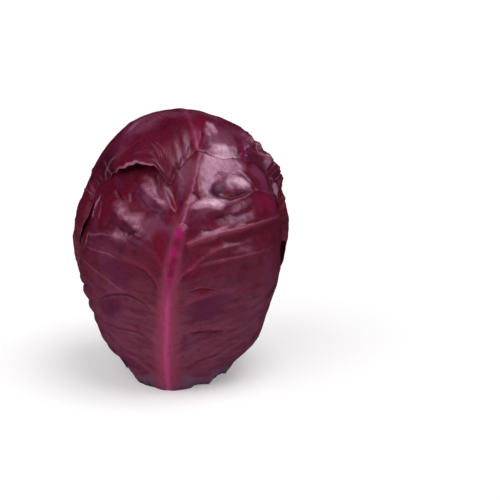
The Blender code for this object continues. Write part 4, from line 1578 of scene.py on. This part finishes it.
class CABBAGE_OT_studio(bpy.types.Operator):
    """Add the pale floor, the softboxes and the camera"""

    bl_idname = "cabbage.studio"
    bl_label = "Studio"

    def execute(self, context):
        light = context.scene.studio_light
        bpy.ops.object.select_all(action="DESELECT")
        bpy.ops.mesh.primitive_plane_add(size=FLOOR_SIZE, location=(0, 0, 0))
        floor = context.active_object
        floor.name = "floor"
        paint = Paint("pale_floor")
        paint.set(Base_Color=light.floor, Roughness=0.9, Specular_IOR_Level=0.1)
        paint.set(Emission_Color=light.floor, Emission_Strength=light.glow)
        floor.data.materials.append(paint.material)
        floor.visible_glossy = False

        broad_light("key_light", KEY_PLACE, KEY_ANGLE, light.key)
        broad_light("fill_light", FILL_PLACE, FILL_ANGLE, light.fill)
        softbox("right_softbox", RIGHT_BOX_PLACE, RIGHT_BOX_SIZE, light.right_gloss)
        softbox("left_softbox", LEFT_BOX_PLACE, LEFT_BOX_SIZE, light.left_gloss)

        world = context.scene.world or bpy.data.worlds.new("studio")
        context.scene.world = world
        world.use_nodes = True
        tree = world.node_tree
        tree.nodes.clear()
        rays = tree.nodes.new("ShaderNodeLightPath")
        shown = tree.nodes.new("ShaderNodeBackground")
        result = tree.nodes.new("ShaderNodeOutputWorld")
        tree.links.new(shown.outputs[0], result.inputs["Surface"])
        for ray, colour in (("Is Glossy Ray", DIM_ROOM), ("Is Camera Ray", WHITE_ROOM)):
            around = tree.nodes.new("ShaderNodeBackground")
            around.inputs["Color"].default_value = (*colour, 1.0)
            choose = tree.nodes.new("ShaderNodeMixShader")
            tree.links.new(rays.outputs[ray], choose.inputs["Fac"])
            tree.links.new(shown.outputs[0], choose.inputs[1])
            tree.links.new(around.outputs[0], choose.inputs[2])
            tree.links.new(choose.outputs[0], result.inputs["Surface"])
            shown = choose
        tree.nodes["Background"].inputs["Color"].default_value = (*SOFT_ROOM, 1.0)
        context.scene.view_settings.view_transform = "Standard"

        bpy.ops.object.camera_add(location=CAMERA_PLACE)
        camera = context.active_object
        camera.name = "camera"
        aim = Vector(CAMERA_AIM) - Vector(CAMERA_PLACE)
        camera.rotation_euler = aim.to_track_quat("-Z", "Y").to_euler()
        camera.data.lens = CAMERA_LENS
        camera.data.sensor_width = SENSOR_WIDTH
        context.scene.camera = camera
        return {"FINISHED"}


PIECES = (
    CABBAGE_OT_right_leaf,
    CABBAGE_OT_left_leaf,
    CABBAGE_OT_front_leaf,
    CABBAGE_OT_cap_leaf,
    CABBAGE_OT_heart,
    CABBAGE_OT_stem,
    CABBAGE_OT_studio,
)


class CABBAGE_PT_panel(bpy.types.Panel):
    """Sizes, colours and pieces of the cabbage"""

    bl_idname = "CABBAGE_PT_panel"
    bl_label = "Red Cabbage"
    bl_space_type = "VIEW_3D"
    bl_region_type = "UI"
    bl_category = "Cabbage"

    def draw(self, context):
        scene = context.scene
        for group in (scene.cabbage_sizes, scene.cabbage_colours, scene.studio_light):
            box = self.layout.box()
            for name in group.__annotations__:
                box.prop(group, name)
        for piece in PIECES:
            self.layout.operator(piece.bl_idname)


GROUPS = (CabbageSizes, CabbageColours, StudioLight)
CLASSES = (*GROUPS, *PIECES, CABBAGE_PT_panel)


def register():
    for made in CLASSES:
        bpy.utils.register_class(made)
    bpy.types.Scene.cabbage_sizes = PointerProperty(type=CabbageSizes)
    bpy.types.Scene.cabbage_colours = PointerProperty(type=CabbageColours)
    bpy.types.Scene.studio_light = PointerProperty(type=StudioLight)


def unregister():
    del bpy.types.Scene.studio_light
    del bpy.types.Scene.cabbage_colours
    del bpy.types.Scene.cabbage_sizes
    for made in reversed(CLASSES):
        bpy.utils.unregister_class(made)


def main():
    register()
    bpy.ops.cabbage.studio()
    bpy.ops.cabbage.right_leaf()
    bpy.ops.cabbage.left_leaf()
    bpy.ops.cabbage.front_leaf()
    bpy.ops.cabbage.cap_leaf()
    bpy.ops.cabbage.heart()
    bpy.ops.cabbage.stem()


if __name__ == "__main__":
    main()
